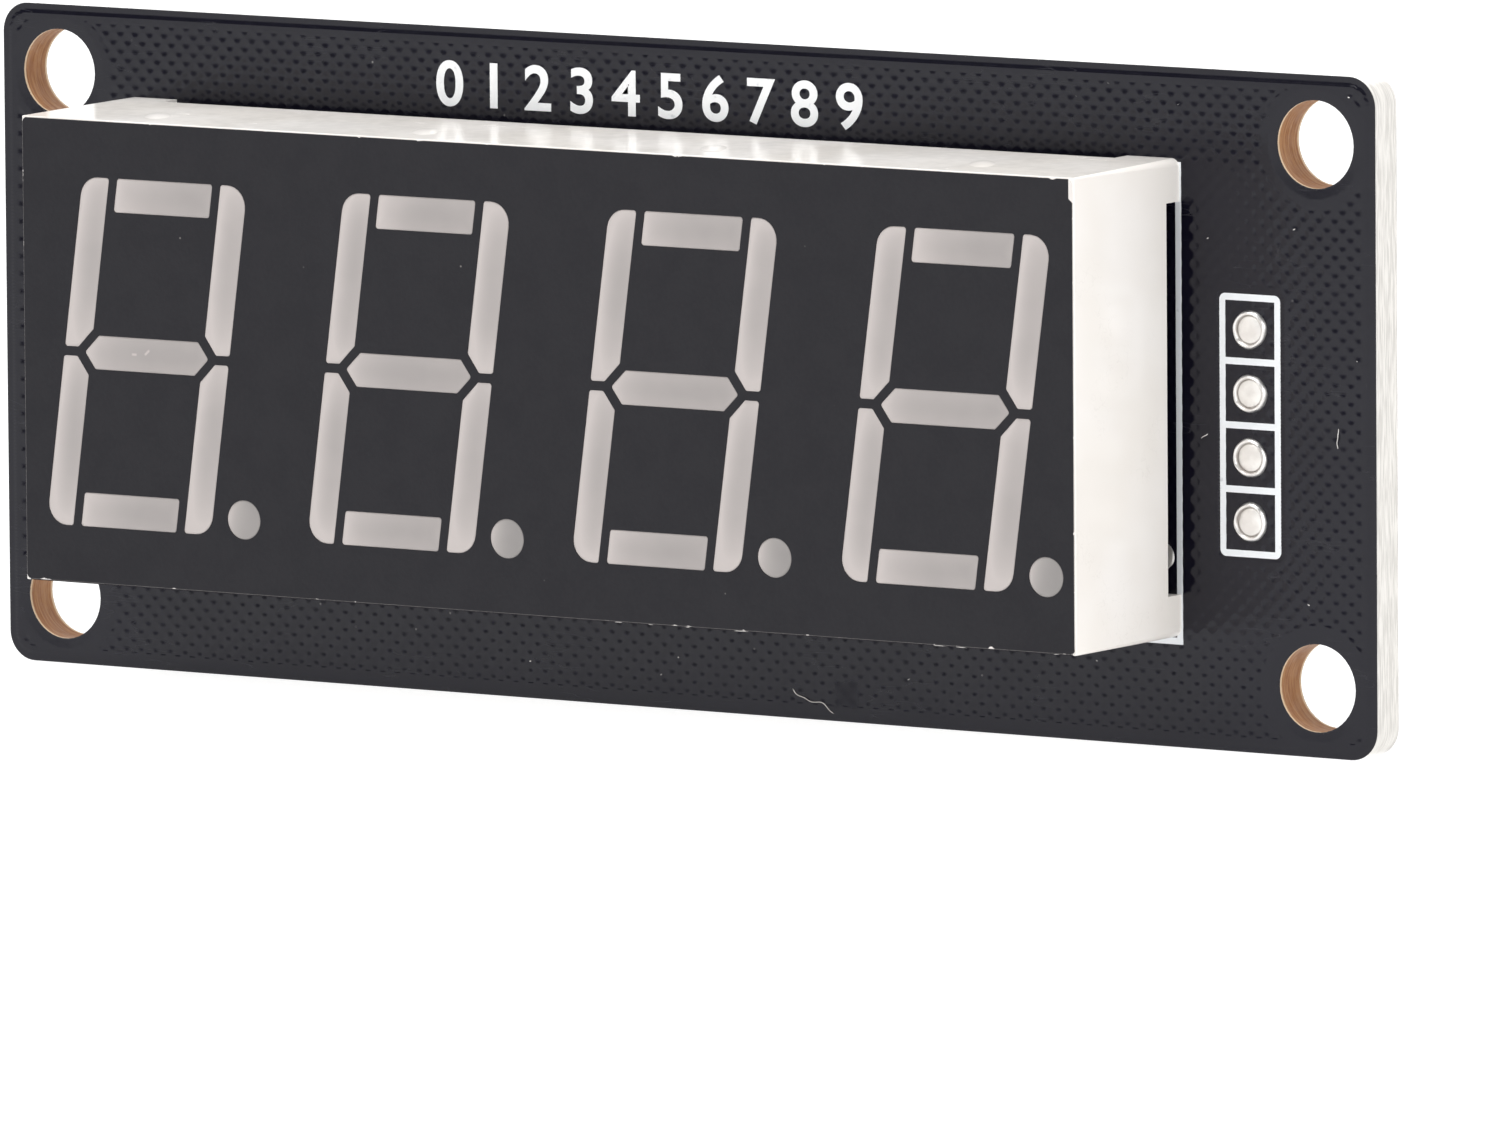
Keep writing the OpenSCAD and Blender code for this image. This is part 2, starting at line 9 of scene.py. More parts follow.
import bmesh
import bpy
import numpy as np
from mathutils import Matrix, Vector


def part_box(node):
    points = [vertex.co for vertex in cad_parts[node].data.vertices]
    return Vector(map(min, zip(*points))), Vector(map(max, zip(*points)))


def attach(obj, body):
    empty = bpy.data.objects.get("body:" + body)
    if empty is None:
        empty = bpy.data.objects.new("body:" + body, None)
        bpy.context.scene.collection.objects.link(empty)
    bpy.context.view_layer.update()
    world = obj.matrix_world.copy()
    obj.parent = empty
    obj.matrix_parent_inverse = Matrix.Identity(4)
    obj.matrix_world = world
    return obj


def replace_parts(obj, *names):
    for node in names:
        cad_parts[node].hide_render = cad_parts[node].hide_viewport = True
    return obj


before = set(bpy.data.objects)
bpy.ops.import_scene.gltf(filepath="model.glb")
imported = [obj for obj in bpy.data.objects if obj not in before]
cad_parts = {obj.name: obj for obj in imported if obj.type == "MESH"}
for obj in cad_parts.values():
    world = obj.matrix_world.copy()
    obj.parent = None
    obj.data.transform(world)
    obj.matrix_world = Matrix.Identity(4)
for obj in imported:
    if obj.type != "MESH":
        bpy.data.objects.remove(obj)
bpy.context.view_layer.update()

MM = 0.001
MERGE_M = 1e-8


def node_box(node):
    """Lowest and highest corner of a CAD node, in millimetres."""
    low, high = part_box(node)
    return np.array(low) / MM, np.array(high) / MM


# Places taken from the frame
board_low, board_high = node_box("driver_board")
housing_low, housing_high = node_box("display_housing")
ink_low, ink_high = node_box("face_ink")
print_low = node_box("board_print")[0]
joint_boxes = [node_box(f"header_solder_{k}") for k in range(1, 5)]
joint_places = [((low + high) / 2)[[0, 2]] for low, high in joint_boxes]
board_half = (board_high - board_low)[[0, 2]] / 2
display_place = ((housing_low + housing_high) / 2)[[0, 2]]
display_half = (housing_high - housing_low)[[0, 2]] / 2
well_face = housing_low[1]
lead_low, lead_high = node_box("driver_chip_leads")
pin_places = {1: [], -1: []}
for k in range(1, 13):
    pin = np.mean(node_box(f"display_pin_{k}"), axis=0)[[0, 2]]
    pin_places[1 if pin[1] > display_place[1] else -1].append(pin)

# Board
BOARD_CORNER = 1.2
SCREW_HOLE_R = 1.75
SCREW_HOLE_INSET = 2.75
SCREW_SIGNS = ((-1, -1), (-1, 1), (1, -1), (1, 1))
screw_places = [board_half * sign - SCREW_HOLE_INSET * np.array(sign) for sign in SCREW_SIGNS]

# Bare laminate: how far in from a face or an edge each of its tones starts and is full
BARE_FACE = (0.012, 0.004)
BARE_RIM = (0.15, 0.1)
BARE_EDGE = (0.5, 0.4)
# Painted light: where the board's upper and lower edges turn whiter than its sides
BARE_LIT_EDGE = (0.4, 0.02)

# Solder mask over hatched copper
HATCH_PITCH = 0.508
HATCH_SAMPLES = 5
DIMPLE_R = 0.3
MASK_FLOOR = 0.004
COPPER_RISE = 0.0245
DIMPLE_DEPTH = 0.0205
POUR_INSET = 0.27
POUR_SLOPE = 0.12
HATCH_INSET = 0.3
HATCH_FADE = 0.14
MASK_EDGE = 0.03
HOLE_RING = 0.42
SKIN_UNDER_DISPLAY = 1.5
EDGE_CATCH = 0.8
HEADER_CELL_HALF = np.array([1.4, 5.2])

# Traces on the back
TRACE_HALF = 0.17
TRACE_GAP = 0.2
LANE_FIRST = 1.25
LANE_PITCH = 0.6
LANE_TURN = 0.5
LEAD_PITCH = 1.27
LEAD_W = 0.42
TRACE_PARTS = ("resistor_2_caps", "resistor_1_caps", "capacitor_2_caps", "capacitor_1_caps")

# Digits
DIGIT_COUNT = 4
DIGIT_PITCH = 12.7
DIGIT_SLANT = math.tan(math.radians(7.8))
DIGIT_HALF_W = 4.03
DIGIT_HALF_H = 7.1
BAR_H = 1.39
UPRIGHT_W = 1.32
BAR_GAP = 0.38
TIP_LENGTH = 0.6
TIP_REACH = 0.31
DIGIT_CORNER = 0.86
BAR_CORNER = 0.12
POINT_R = 0.8
POINT_PLACE = np.array([4.67, -6.38])
POINT_SHARE = 1.4
WINDOW_RIM_RISE = 0.028
WINDOW_DISH = 0.02
WINDOW_RINGS = np.array([0, 0.02, 0.1, 0.25, 0.45, 0.7, 1.0])

# Painted light in the resin's colour, standing for the wells' lit white walls seen through it: how far the
# painted glow reaches, and its strength at the left wall, the lower end and the upper end
GLOW_REACH_LEVEL = 1.0
GLOW_REACH_UPRIGHT = 0.43
GLOW_REACH_END = 1.1
PAINTED_WALL_GLOW = (1.0, 1.1, 0.7)
# Painted light along each window's rim, and a reach so far that no painted glow falls
PAINTED_RIM_GLOW = 0.18
NO_GLOW = 9.0

# Painted highlights: two pale glints on the first digit's middle bar, standing for the light chip's
# reflection: place, half length and turn
CHIP_GLINTS = ((-21.11, 0.4, 0.15, 0.0), (-20.48, 0.51, 0.19, math.radians(42)))
CHIP_GLINT_HALF_W = 0.07
CHIP_GLINT_CORE = 0.02

# Face ink: its pale, ragged edge and the chip at its upper right corner
INK_EDGE = (0.0145, -0.012)
INK_RAGGED = 0.09
CORNER_CHIP = 0.17
CORNER_CHIP_W = (0.6, 0.5)
CORNER_CHIP_H = (0.95, 0.75)

# Ink that runs over the face's lower edge, and the chips in it: middle and half length
FACE_EDGE_R = 0.05
WRAP_T = 0.006
WRAP_LOSS = 0.6
WRAP_CORE = 0.4
WRAP_ENDS = (0.15, 0.1)
WRAP_SAMPLES = 500
WRAP_WAVES = ((0.05, 3.1, 0), (0.04, 7.7, 1), (0.03, 19, 2))
WRAP_REACH = math.radians(85)
WRAP_CHIPS = np.array([(2.14, 0.25), (3.65, 0.12), (5.41, 0.12), (7.94, 0.45), (17.24, 0.35), (18.28, 0.3),
                       (22.69, 0.15)])

# Numerals printed above the display
NUMERALS = "0 1 2 3 4 5 6 7 8 9"
NUMERAL_LOW = np.array([-11.5, 10.25])
NUMERAL_HIGH = np.array([8.9, 12.15])
NUMERAL_WEIGHT = 0.018
NUMERAL_T = 0.012
NUMERAL_WHITE = (9.5, 10.2)

# Print on the back
OUTLINE_GAP = 0.45
OUTLINE_W = 0.18
OUTLINE_T = 0.04
OUTLINE_PAST_LEADS = 1.55
OUTLINED_PARTS = (("header_body",), ("resistor_1_caps", "resistor_2_caps"),
                  ("capacitor_1_caps", "capacitor_2_caps"))

# Display pin joints
PIN_R = 0.25
PIN_HOLE_R = 0.45
PIN_PAD_R = 0.84
PIN_PAD_T = 0.05
PIN_UNEVEN = 0.07

# Header joints
JOINT_RIM_R = 0.66
JOINT_FLAT_R = 0.57
JOINT_FLAT_H = 0.05
JOINT_GROOVE = 0.025
JOINT_PLUG_R = 0.5

# Dust
LINT = {
    "lint_long": ((5.4, -12.3), (7.35, -13.2), -0.12),
    "lint_fleck": ((24.69, -1.15), (25.0, -0.95), 0.01),
    "lint_hair": ((31.03, -0.4), (31.0, -1.21), 0.02),
}
LINT_R = 0.017
LINT_LIFT = 0.04
LINT_ARCH = 0.05
SPECK_PLACES = np.array([
    (-0.07, -11.4), (-0.9, -12.15), (10.9, -11.6), (-7.2, -12.0), (17.0, -12.9),
    (28.7, 12.91), (31.55, 12.68), (25.02, 6.8), (24.35, -8.92), (32.33, 1.35), (29.61, -7.47),
    (20.42, 12.71), (18.93, 12.13), (22.01, 12.11), (23.67, 12.02), (29.01, 7.35), (31.89, 2.29),
    (19.35, -10.29), (19.75, -10.29),
])
SPECK_R = 0.06
SMUDGE = (7.95, -12.4)
SMUDGE_R = 1.0

# Gate marks on the display's upper wall
MARK_PLACES = np.array([(-21.5, -5.3), (-8.5, -5.3), (5.2, -5.2), (17.7, -5.0)])
MARK_HALF = np.array([0.55, 1.3])
MARK_TURN = math.radians(30)
MARK_RISE = 0.09
WALL_DRAFT = 0.06


# Meshes

def grid_faces(rows, columns, closed=False):
    """Quads between neighbours of a grid of points; closed joins the last column to the first."""
    row, column = np.meshgrid(np.arange(rows - 1), np.arange(columns - (not closed)), indexing="ij")
    beside = (column + 1) % columns
    corners = (row * columns + column, row * columns + beside,
               (row + 1) * columns + beside, (row + 1) * columns + column)
    return np.stack(corners, axis=-1).reshape(-1, 4)


def copied_faces(faces, copies, size):
    """The same quads for each of several copies of a piece, whose points follow one another."""
    return (faces + np.arange(copies)[:, None, None] * size).reshape(-1, 4)


def full_turn(count):
    """Angles of a full turn, evenly spaced from zero."""
    return np.linspace(0, 2 * math.pi, count, endpoint=False)


def make_piece(name, points, faces, slot, merge=True):
    """Smooth mesh from points (n, 3) in millimetres and quads (m, 4), in place and riding on the board."""
    mesh = bpy.data.meshes.new(name)
    mesh.from_pydata((points * MM).tolist(), [], faces.tolist())
    if merge:
        work = bmesh.new()
        work.from_mesh(mesh)
        bmesh.ops.remove_doubles(work, verts=work.verts, dist=MERGE_M)
        bmesh.ops.dissolve_degenerate(work, edges=work.edges, dist=MERGE_M)
        work.to_mesh(mesh)
        work.free()
    mesh.polygons.foreach_set("use_smooth", np.ones(len(mesh.polygons), dtype=bool))
    mesh.update()
    return place_piece(bpy.data.objects.new(name, mesh), slot)


def place_piece(piece, slot):
    """Links a finished object, gives it its slot's finish and lets it ride on the board."""
    bpy.context.scene.collection.objects.link(piece)
    piece.data.materials.clear()
    piece.data.materials.append(finishes[slot])
    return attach(piece, "root")


# Flat distances, positive inside the area meant

def in_rounded_box(x, z, centre, half, radius):
    """Distance in from a rounded rectangle's outline: radius less the distance past its inner box."""
    past_x = np.abs(x - centre[0]) - (half[0] - radius)
    past_z = np.abs(z - centre[1]) - (half[1] - radius)
    outside = np.hypot(np.maximum(past_x, 0), np.maximum(past_z, 0))
    return radius - outside - np.minimum(np.maximum(past_x, past_z), 0)


def off_circles(x, z, centres, radius):
    """Distance out from the nearest of several equal circles."""
    return np.minimum.reduce([np.hypot(x - c[0], z - c[1]) for c in centres]) - radius


def smooth_step(value, low, high):
    """Zero below low, one above high, and the cubic 3t^2 - 2t^3 between."""
    t = np.clip((value - low) / (high - low), 0, 1)
    return t * t * (3 - 2 * t)


def board_inside(x, z):
    """Distance in from the board's outline and its screw holes."""
    outline = in_rounded_box(x, z, (0, 0), board_half, BOARD_CORNER)
    return np.minimum(outline, off_circles(x, z, screw_places, SCREW_HOLE_R))


def front_area(x, z):
    """Area of the front's mask: the board, less its middle under the display and the header's joints."""
    hidden = in_rounded_box(x, z, display_place, display_half - SKIN_UNDER_DISPLAY, BOARD_CORNER)
    joints = off_circles(x, z, joint_places, JOINT_RIM_R)
    return np.minimum.reduce([board_inside(x, z) - MASK_EDGE, -hidden, joints])


def back_area(x, z):
    """Area of the back's mask: the whole board."""
    return board_inside(x, z) - MASK_EDGE


def hatch_dimple(x, z):
    """One at the middle of each cell of the 45 degree hatch, falling to zero at the dimple's rim."""
    along = (x + z) * math.sqrt(0.5)
    across = (x - z) * math.sqrt(0.5)
    from_middle = np.hypot(along - np.round(along / HATCH_PITCH) * HATCH_PITCH,
                           across - np.round(across / HATCH_PITCH) * HATCH_PITCH)
    return 1 - smooth_step(from_middle, 0, DIMPLE_R)


def pour_height(x, z, clear):
    """Height of the mask over hatched copper that keeps clear of something.

    It steps up onto the copper inside the board's edge, slopes down into the screw holes, and has a
    dimple in each hatch cell that lies well inside the copper.
    """
    outline = in_rounded_box(x, z, (0, 0), board_half, BOARD_CORNER) - POUR_INSET
    hole = off_circles(x, z, screw_places, SCREW_HOLE_R)
    copper = np.minimum.reduce([smooth_step(outline, 0, POUR_SLOPE), np.clip(hole / HOLE_RING, 0, 1),
                                smooth_step(clear, 0, POUR_SLOPE)])
    inside = np.minimum.reduce([outline, hole - HOLE_RING, clear]) - HATCH_INSET
    dimple = hatch_dimple(x, z) * smooth_step(inside, 0, HATCH_FADE)
    return MASK_FLOOR + COPPER_RISE * copper - DIMPLE_DEPTH * dimple


def front_height(x, z):
    """Height of the front's mask: hatched copper that keeps clear of the header's cells."""
    cells = in_rounded_box(x, z, np.mean(joint_places, axis=0), HEADER_CELL_HALF, BAR_CORNER)
    return pour_height(x, z, np.where(cells > 0, np.inf, -cells))


def off_traces(x, z):
    """Distance from the nearest trace: the least distance to any of their straight runs."""
    gap = np.full(x.shape, np.inf)
    for start, end in trace_runs():
        run = end - start
        share = np.clip(((x - start[0]) * run[0] + (z - start[1]) * run[1]) / (run @ run), 0, 1)
        gap = np.minimum(gap, np.hypot(x - start[0] - share * run[0], z - start[1] - share * run[1]))
    return gap


def trace_runs():
    """Straight runs of the traces on the back, as pairs of points.

    Each display pin climbs at 45 degrees to a lane of its own, follows it past its neighbours and
    turns down to a lead of the driver chip. Each header pin runs to one of the small parts.
    """
    paths = []
    for side in (1, -1):
        for lane, pin in enumerate(sorted(pin_places[side], key=lambda place: place[0])):
            level = pin[1] + side * (LANE_FIRST + LANE_PITCH * lane)
            lead_x = lead_high[0] - LEAD_W / 2 - LEAD_PITCH * lane
            lead_z = lead_high[2] if side > 0 else lead_low[2]
            climb = abs(level - pin[1])
            paths.append([pin, (pin[0] - climb, level), (lead_x + LANE_TURN, level),
                          (lead_x, level - side * LANE_TURN), (lead_x, lead_z)])
    for joint, part in zip(joint_places, TRACE_PARTS):
        low, high = node_box(part)
        end = np.array([(low[0] + high[0]) / 2, high[2] if joint[1] > display_place[1] else low[2]])
        paths.append([joint, (end[0] + abs(joint[1] - end[1]), joint[1]), end])
    paths = [np.array(path, dtype=float) for path in paths]
    return [run for path in paths for run in zip(path[:-1], path[1:])]


def back_height(x, z):
    """Height of the back's mask: hatched copper clear of the traces, and each trace's own ridge."""
    gap = off_traces(x, z)
    ridge = COPPER_RISE * (1 - smooth_step(gap, TRACE_HALF - POUR_SLOPE / 2, TRACE_HALF + POUR_SLOPE / 2))
    return np.maximum(pour_height(x, z, gap - TRACE_HALF - TRACE_GAP), MASK_FLOOR + ridge)


def mask_skin(name, area, height, face_y, outward, columns):
    """Relief of the mask on one face of the board, between two columns.

    The grid is turned 45 degrees, so that its rows follow the hatch. Points just outside the area
    move onto its outline along the distance's slope, and lie on the board there. Each point's
    normal comes from the height's own slope, so that neighbouring skins meet without a seam.
    """
    step = HATCH_PITCH / HATCH_SAMPLES
    reach = step * np.arange(math.ceil(board_half.sum() * math.sqrt(0.5) / step) + 1)
    reach = np.concatenate([-reach[:0:-1], reach])
    along, across = np.meshgrid(reach, reach, indexing="ij")
    x = (along + across) * math.sqrt(0.5)
    z = (along - across) * math.sqrt(0.5)
    inside = area(x, z)
    faces = grid_faces(*x.shape)
    middle = x.reshape(-1)[faces].mean(axis=1)
    kept = (inside > -EDGE_CATCH * step).reshape(-1)[faces].all(axis=1)
    faces = faces[kept & (middle >= columns[0]) & (middle < columns[1])]
    used, faces = np.unique(faces, return_inverse=True)
    x, z, inside = x.reshape(-1)[used], z.reshape(-1)[used], inside.reshape(-1)[used]
    near = step / 4
    slope_x = (area(x + near, z) - area(x - near, z)) / (2 * near)
    slope_z = (area(x, z + near) - area(x, z - near)) / (2 * near)
    past = np.minimum(inside, 0)
    rise = np.where(inside > 0, height(x, z), 0)
    points = np.stack([x - past * slope_x, face_y + outward * rise, z - past * slope_z], axis=-1)
    faces = faces.reshape(-1, 4) if outward < 0 else faces.reshape(-1, 4)[:, ::-1]
    piece = make_piece(name, points, faces, "board_mask", merge=False)
    tilt_x = (height(x + near, z) - height(x - near, z)) / (2 * near)
    tilt_z = (height(x, z + near) - height(x, z - near)) / (2 * near)
    normals = np.stack([-tilt_x, np.full(len(x), float(outward)), -tilt_z], axis=-1)
    normals /= np.linalg.norm(normals, axis=1, keepdims=True)
    piece.data.normals_split_custom_set_from_vertices(normals.tolist())
    return piece


# Windows of the digits

def rounded_outline(corners, radii, steps=6):
    """Closed outline with an arc at each corner.

    The arc's centre lies on the corner's bisector, the radius over the sine of the half angle away.
    """
    corners = np.array(corners, dtype=float)
    radii = np.array(radii, dtype=float)[:, None]
    before = np.roll(corners, 1, axis=0) - corners
    after = np.roll(corners, -1, axis=0) - corners
    before /= np.linalg.norm(before, axis=1, keepdims=True)
    after /= np.linalg.norm(after, axis=1, keepdims=True)
    half_angle = np.arccos((before * after).sum(axis=1, keepdims=True)) / 2
    bisector = (before + after) / np.linalg.norm(before + after, axis=1, keepdims=True)
    centres = corners + bisector * radii / np.sin(half_angle)
    start = corners + before * radii / np.tan(half_angle) - centres
    end = corners + after * radii / np.tan(half_angle) - centres
    turn = np.arctan2(start[:, 1], start[:, 0])
    sweep = np.arctan2(end[:, 1], end[:, 0]) - turn
    sweep = (sweep + math.pi) % (2 * math.pi) - math.pi
    angle = turn[:, None] + sweep[:, None] * np.linspace(0, 1, steps)
    arcs = radii[:, :, None] * np.stack([np.cos(angle), np.sin(angle)], axis=-1)
    return (centres[:, None] + arcs).reshape(-1, 2)


def slanted(points):
    """Leans a digit: each point moves right by its height times the slant."""
    points = np.array(points, dtype=float)
    return points + np.stack([points[:, 1] * DIGIT_SLANT, np.zeros(len(points))], axis=1)


def bar_corners():
    """Corners and radii of a digit's seven bars, leaning, about the digit's centre."""
    upright_in = DIGIT_HALF_W - UPRIGHT_W
    level_end = upright_in - BAR_GAP
    tip_end = upright_in + TIP_REACH
    normal = np.array([BAR_H / 2, TIP_LENGTH]) / math.hypot(BAR_H / 2, TIP_LENGTH)
    flat_end = tip_end + (BAR_GAP - normal[1] * BAR_GAP / 2) / normal[0]
    chamfer_end = (BAR_GAP + normal[0] * (tip_end - upright_in)) / normal[1]
    upright = np.array([
        (upright_in, chamfer_end), (flat_end, BAR_GAP / 2), (DIGIT_HALF_W, BAR_GAP / 2),
        (DIGIT_HALF_W, DIGIT_HALF_H), (upright_in, DIGIT_HALF_H),
    ])
    upright_r = (BAR_CORNER, BAR_CORNER, BAR_CORNER, DIGIT_CORNER, BAR_CORNER)
    level = np.array([(-1, 1), (1, 1), (1, 0), (-1, 0)]) * (level_end, BAR_H)
    level = level + (0, DIGIT_HALF_H - BAR_H)
    shoulder = tip_end - TIP_LENGTH
    middle = np.array([(-tip_end, 0), (-shoulder, BAR_H / 2), (shoulder, BAR_H / 2),
                       (tip_end, 0), (shoulder, -BAR_H / 2), (-shoulder, -BAR_H / 2)])
    bars = [(upright * sign, upright_r) for sign in ((1, 1), (-1, 1), (-1, -1), (1, -1))]
    bars += [(level * (1, side), (BAR_CORNER,) * 4) for side in (1, -1)]
    bars.append((middle, (BAR_CORNER,) * 6))
    return [(slanted(corners), radii) for corners, radii in bars]


def window_sheet(outline, spine):
    """One window: rings that shrink from the outline to the bar's spine.

    The resin climbs the ink by the rim's rise, then sinks by the dish's depth with the square of the
    share of the way to the spine. Gives points, quads and that share.
    """
    share = WINDOW_RINGS
    length = max(np.dot(spine[1] - spine[0], spine[1] - spine[0]), 1e-9)
    along = np.clip((outline - spine[0]) @ (spine[1] - spine[0]) / length, 0, 1)
    nearest = spine[0] + along[:, None] * (spine[1] - spine[0])
    flat = outline + (nearest - outline) * share[:, None, None]
    rise = np.where(share > 0, WINDOW_RIM_RISE - WINDOW_DISH * (1 - (1 - share) ** 2), 0)
    level = np.broadcast_to((well_face - rise)[:, None], flat.shape[:2])
    points = np.stack([flat[..., 0], level, flat[..., 1]], axis=-1).reshape(-1, 3)
    faces = grid_faces(len(share), len(outline), closed=True)
    turn = np.sum(np.roll(outline[:, 0], -1) * outline[:, 1] - outline[:, 0] * np.roll(outline[:, 1], -1))
    faces = faces if turn < 0 else faces[:, ::-1]
    return points, faces, np.repeat(share, len(outline))


def wall_reach(points, centre):
    """How far each point of a bar lies from its well's left wall, lower end and upper end.

    Each distance is measured along the leaning digit's own axes and divided by the reach of that wall's
    painted glow. Only an upright bar has a painted glow at its ends.
    """
    up = points[:, 2] - centre[1]
    right = points[:, 0] - centre[0] - up * DIGIT_SLANT
    left_reach = GLOW_REACH_LEVEL if np.ptp(right) > 2 * UPRIGHT_W else GLOW_REACH_UPRIGHT
    ends = np.stack([up - up.min(), up.max() - up], axis=1) / GLOW_REACH_END
    if np.ptp(up) < 2 * BAR_H:
        ends = np.full_like(ends, NO_GLOW)
    return np.column_stack([(right - right.min()) / left_reach, ends])


def digit_windows(k):
    """Milky faces of one digit's seven bars and its point, as one piece.

    Each vertex keeps its share of the way to the spine and its reach from the well's walls. On the
    point the share is one value over one, which marks it for its darker tone.
    """
    centre = np.array([(k - (DIGIT_COUNT + 1) / 2) * DIGIT_PITCH, 0]) + display_place
    sheets = []
    for corners, radii in bar_corners():
        outline = rounded_outline(corners, radii)
        middle = outline.mean(axis=0)
        spread = outline - middle
        axis = np.linalg.svd(spread, full_matrices=False)[2][0]
        length = np.abs(spread @ axis).max() - BAR_H / 2
        spine = middle + centre + np.outer((-length, length), axis)
        points, faces, share = window_sheet(outline + centre, spine)
        sheets.append((points, faces, share, wall_reach(points, centre)))
    angle = full_turn(40)
    disc = POINT_PLACE + centre + POINT_R * np.stack([np.cos(angle), np.sin(angle)], axis=1)
    points, faces, _ = window_sheet(disc, np.array([POINT_PLACE + centre] * 2))
    sheets.append((points, faces, np.full(len(points), POINT_SHARE), wall_reach(points, centre)))
    starts = np.cumsum([0] + [len(sheet[0]) for sheet in sheets[:-1]])
    faces = np.concatenate([sheet[1] + start for sheet, start in zip(sheets, starts)])
    points, share, reach = (np.concatenate([sheet[n] for sheet in sheets]) for n in (0, 2, 3))
    piece = make_piece(f"segment_windows_{k}", points, faces, "milky_resin", merge=False)
    depth = piece.data.attributes.new("to_spine", "FLOAT", "POINT")
    depth.data.foreach_set("value", share)
    walls = piece.data.attributes.new("wall_reach", "FLOAT_VECTOR", "POINT")
    walls.data.foreach_set("vector", reach.ravel())
    return piece


def lower_ink_wrap():
    """Ink over the face's rounded lower edge: an arc carried along the edge.

    How far the arc turns wanders along the edge by three sine waves, and falls at each chip.
    """
    along = np.linspace(ink_low[0] + WRAP_ENDS[0], ink_high[0] - WRAP_ENDS[1], WRAP_SAMPLES)
    middle, half_length = WRAP_CHIPS.T
    off_chip = np.abs(along[:, None] - middle)
    chip = np.max(1 - smooth_step(off_chip, WRAP_CORE * half_length, half_length), axis=1)
    wander = sum(size * np.sin(rate * along + start) for size, rate, start in WRAP_WAVES)
    reach = WRAP_REACH * (1 + wander) * (1 - WRAP_LOSS * chip)
    share = np.linspace(0, 1, 5)
    turn = reach[:, None] * share
    radius = FACE_EDGE_R + WRAP_T * (1 - share ** 4)
    points = np.stack([np.broadcast_to(along[:, None], turn.shape),
                       well_face + FACE_EDGE_R - radius * np.cos(turn),
                       ink_low[2] - radius * np.sin(turn)], axis=-1).reshape(-1, 3)
    faces = grid_faces(len(along), len(share))
    return make_piece("lower_ink_wrap", points, faces, "wrapped_ink", merge=False)


# Board trimmings

def numeral_row():
    """Row of plain numerals, set as text and stretched to fill its place on the board."""
    curve = bpy.data.curves.new("board_numerals", "FONT")
    curve.body = NUMERALS
    curve.offset = NUMERAL_WEIGHT
    curve.extrude = 0.5
    holder = bpy.data.objects.new("board_numerals", curve)
    bpy.context.scene.collection.objects.link(holder)
    drawn = holder.evaluated_get(bpy.context.evaluated_depsgraph_get())
    mesh = bpy.data.meshes.new_from_object(drawn)
    bpy.data.objects.remove(holder)
    flat = np.empty(len(mesh.vertices) * 3)
    mesh.vertices.foreach_get("co", flat)
    flat = flat.reshape(-1, 3)
    share = (flat - flat.min(axis=0)) / (flat.max(axis=0) - flat.min(axis=0))
    place = NUMERAL_LOW + share[:, :2] * (NUMERAL_HIGH - NUMERAL_LOW)
    depth = print_low[1] + NUMERAL_T * (0.5 - share[:, 2])
    points = np.stack([place[:, 0], depth, place[:, 1]], axis=1) * MM
    mesh.vertices.foreach_set("co", points.ravel())
    mesh.update()
    return place_piece(bpy.data.objects.new("board_numerals", mesh), "board_print")


def header_joint(k):
    """Solder joint: a profile turned about its pin, made a little out of round by three sine waves.

    From the middle out it has a flat, a groove, a rounded rim, the pad's edge and a plug in the hole.
    """
    low, high = joint_boxes[k]
    centre = (low + high) / 2
    outer = (high - low)[0] / 2
    rim = -low[1]
    flat = JOINT_FLAT_H
    # Radius and lift of each ring
    radius, lift = np.array([
        (0, flat + 0.02), (0.3, flat + 0.018), (0.5, flat + 0.01), (JOINT_FLAT_R - 0.02, flat),
        (JOINT_FLAT_R, flat - 0.02), (JOINT_FLAT_R + 0.02, flat + 0.03), (0.61, rim - 0.04),
        (JOINT_RIM_R, rim), (0.69, rim - 0.02), (0.73, rim - 0.07), (outer, 0.03), (outer, 0),
        (JOINT_PLUG_R, 0), (JOINT_PLUG_R, -high[1]), (0, -high[1]),
    ]).T
    turn = full_turn(56)
    uneven = (0.022 * np.sin(2 * turn + 1.7 * k) + 0.014 * np.sin(3 * turn + 0.9 * k + 1)
              + 0.008 * np.sin(7 * turn + k))
    out = radius[:, None] * (1 + uneven * smooth_step(radius, 0.2, 0.6)[:, None])
    lift = lift[:, None] * (1 + 0.12 * np.sin(turn + 2.1 * k) * (lift > 0.05)[:, None])
    points = np.stack([centre[0] + out * np.cos(turn), np.broadcast_to(-lift, out.shape),
                       centre[2] + out * np.sin(turn)], axis=-1).reshape(-1, 3)
    faces = grid_faces(len(radius), len(turn), closed=True)[:, ::-1]
    piece = make_piece(f"header_joint_{k + 1}", points, faces, "solder")
    corners = np.empty(len(piece.data.vertices) * 3)
    piece.data.vertices.foreach_get("co", corners)
    corners = corners.reshape(-1, 3) / MM - centre
    off_ring = np.hypot(corners[:, 0], corners[:, 2]) - JOINT_FLAT_R
    groove = piece.data.attributes.new("groove", "FLOAT", "POINT")
    groove.data.foreach_set("value", np.exp(-(off_ring / JOINT_GROOVE) ** 2))
    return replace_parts(piece, f"header_solder_{k + 1}")


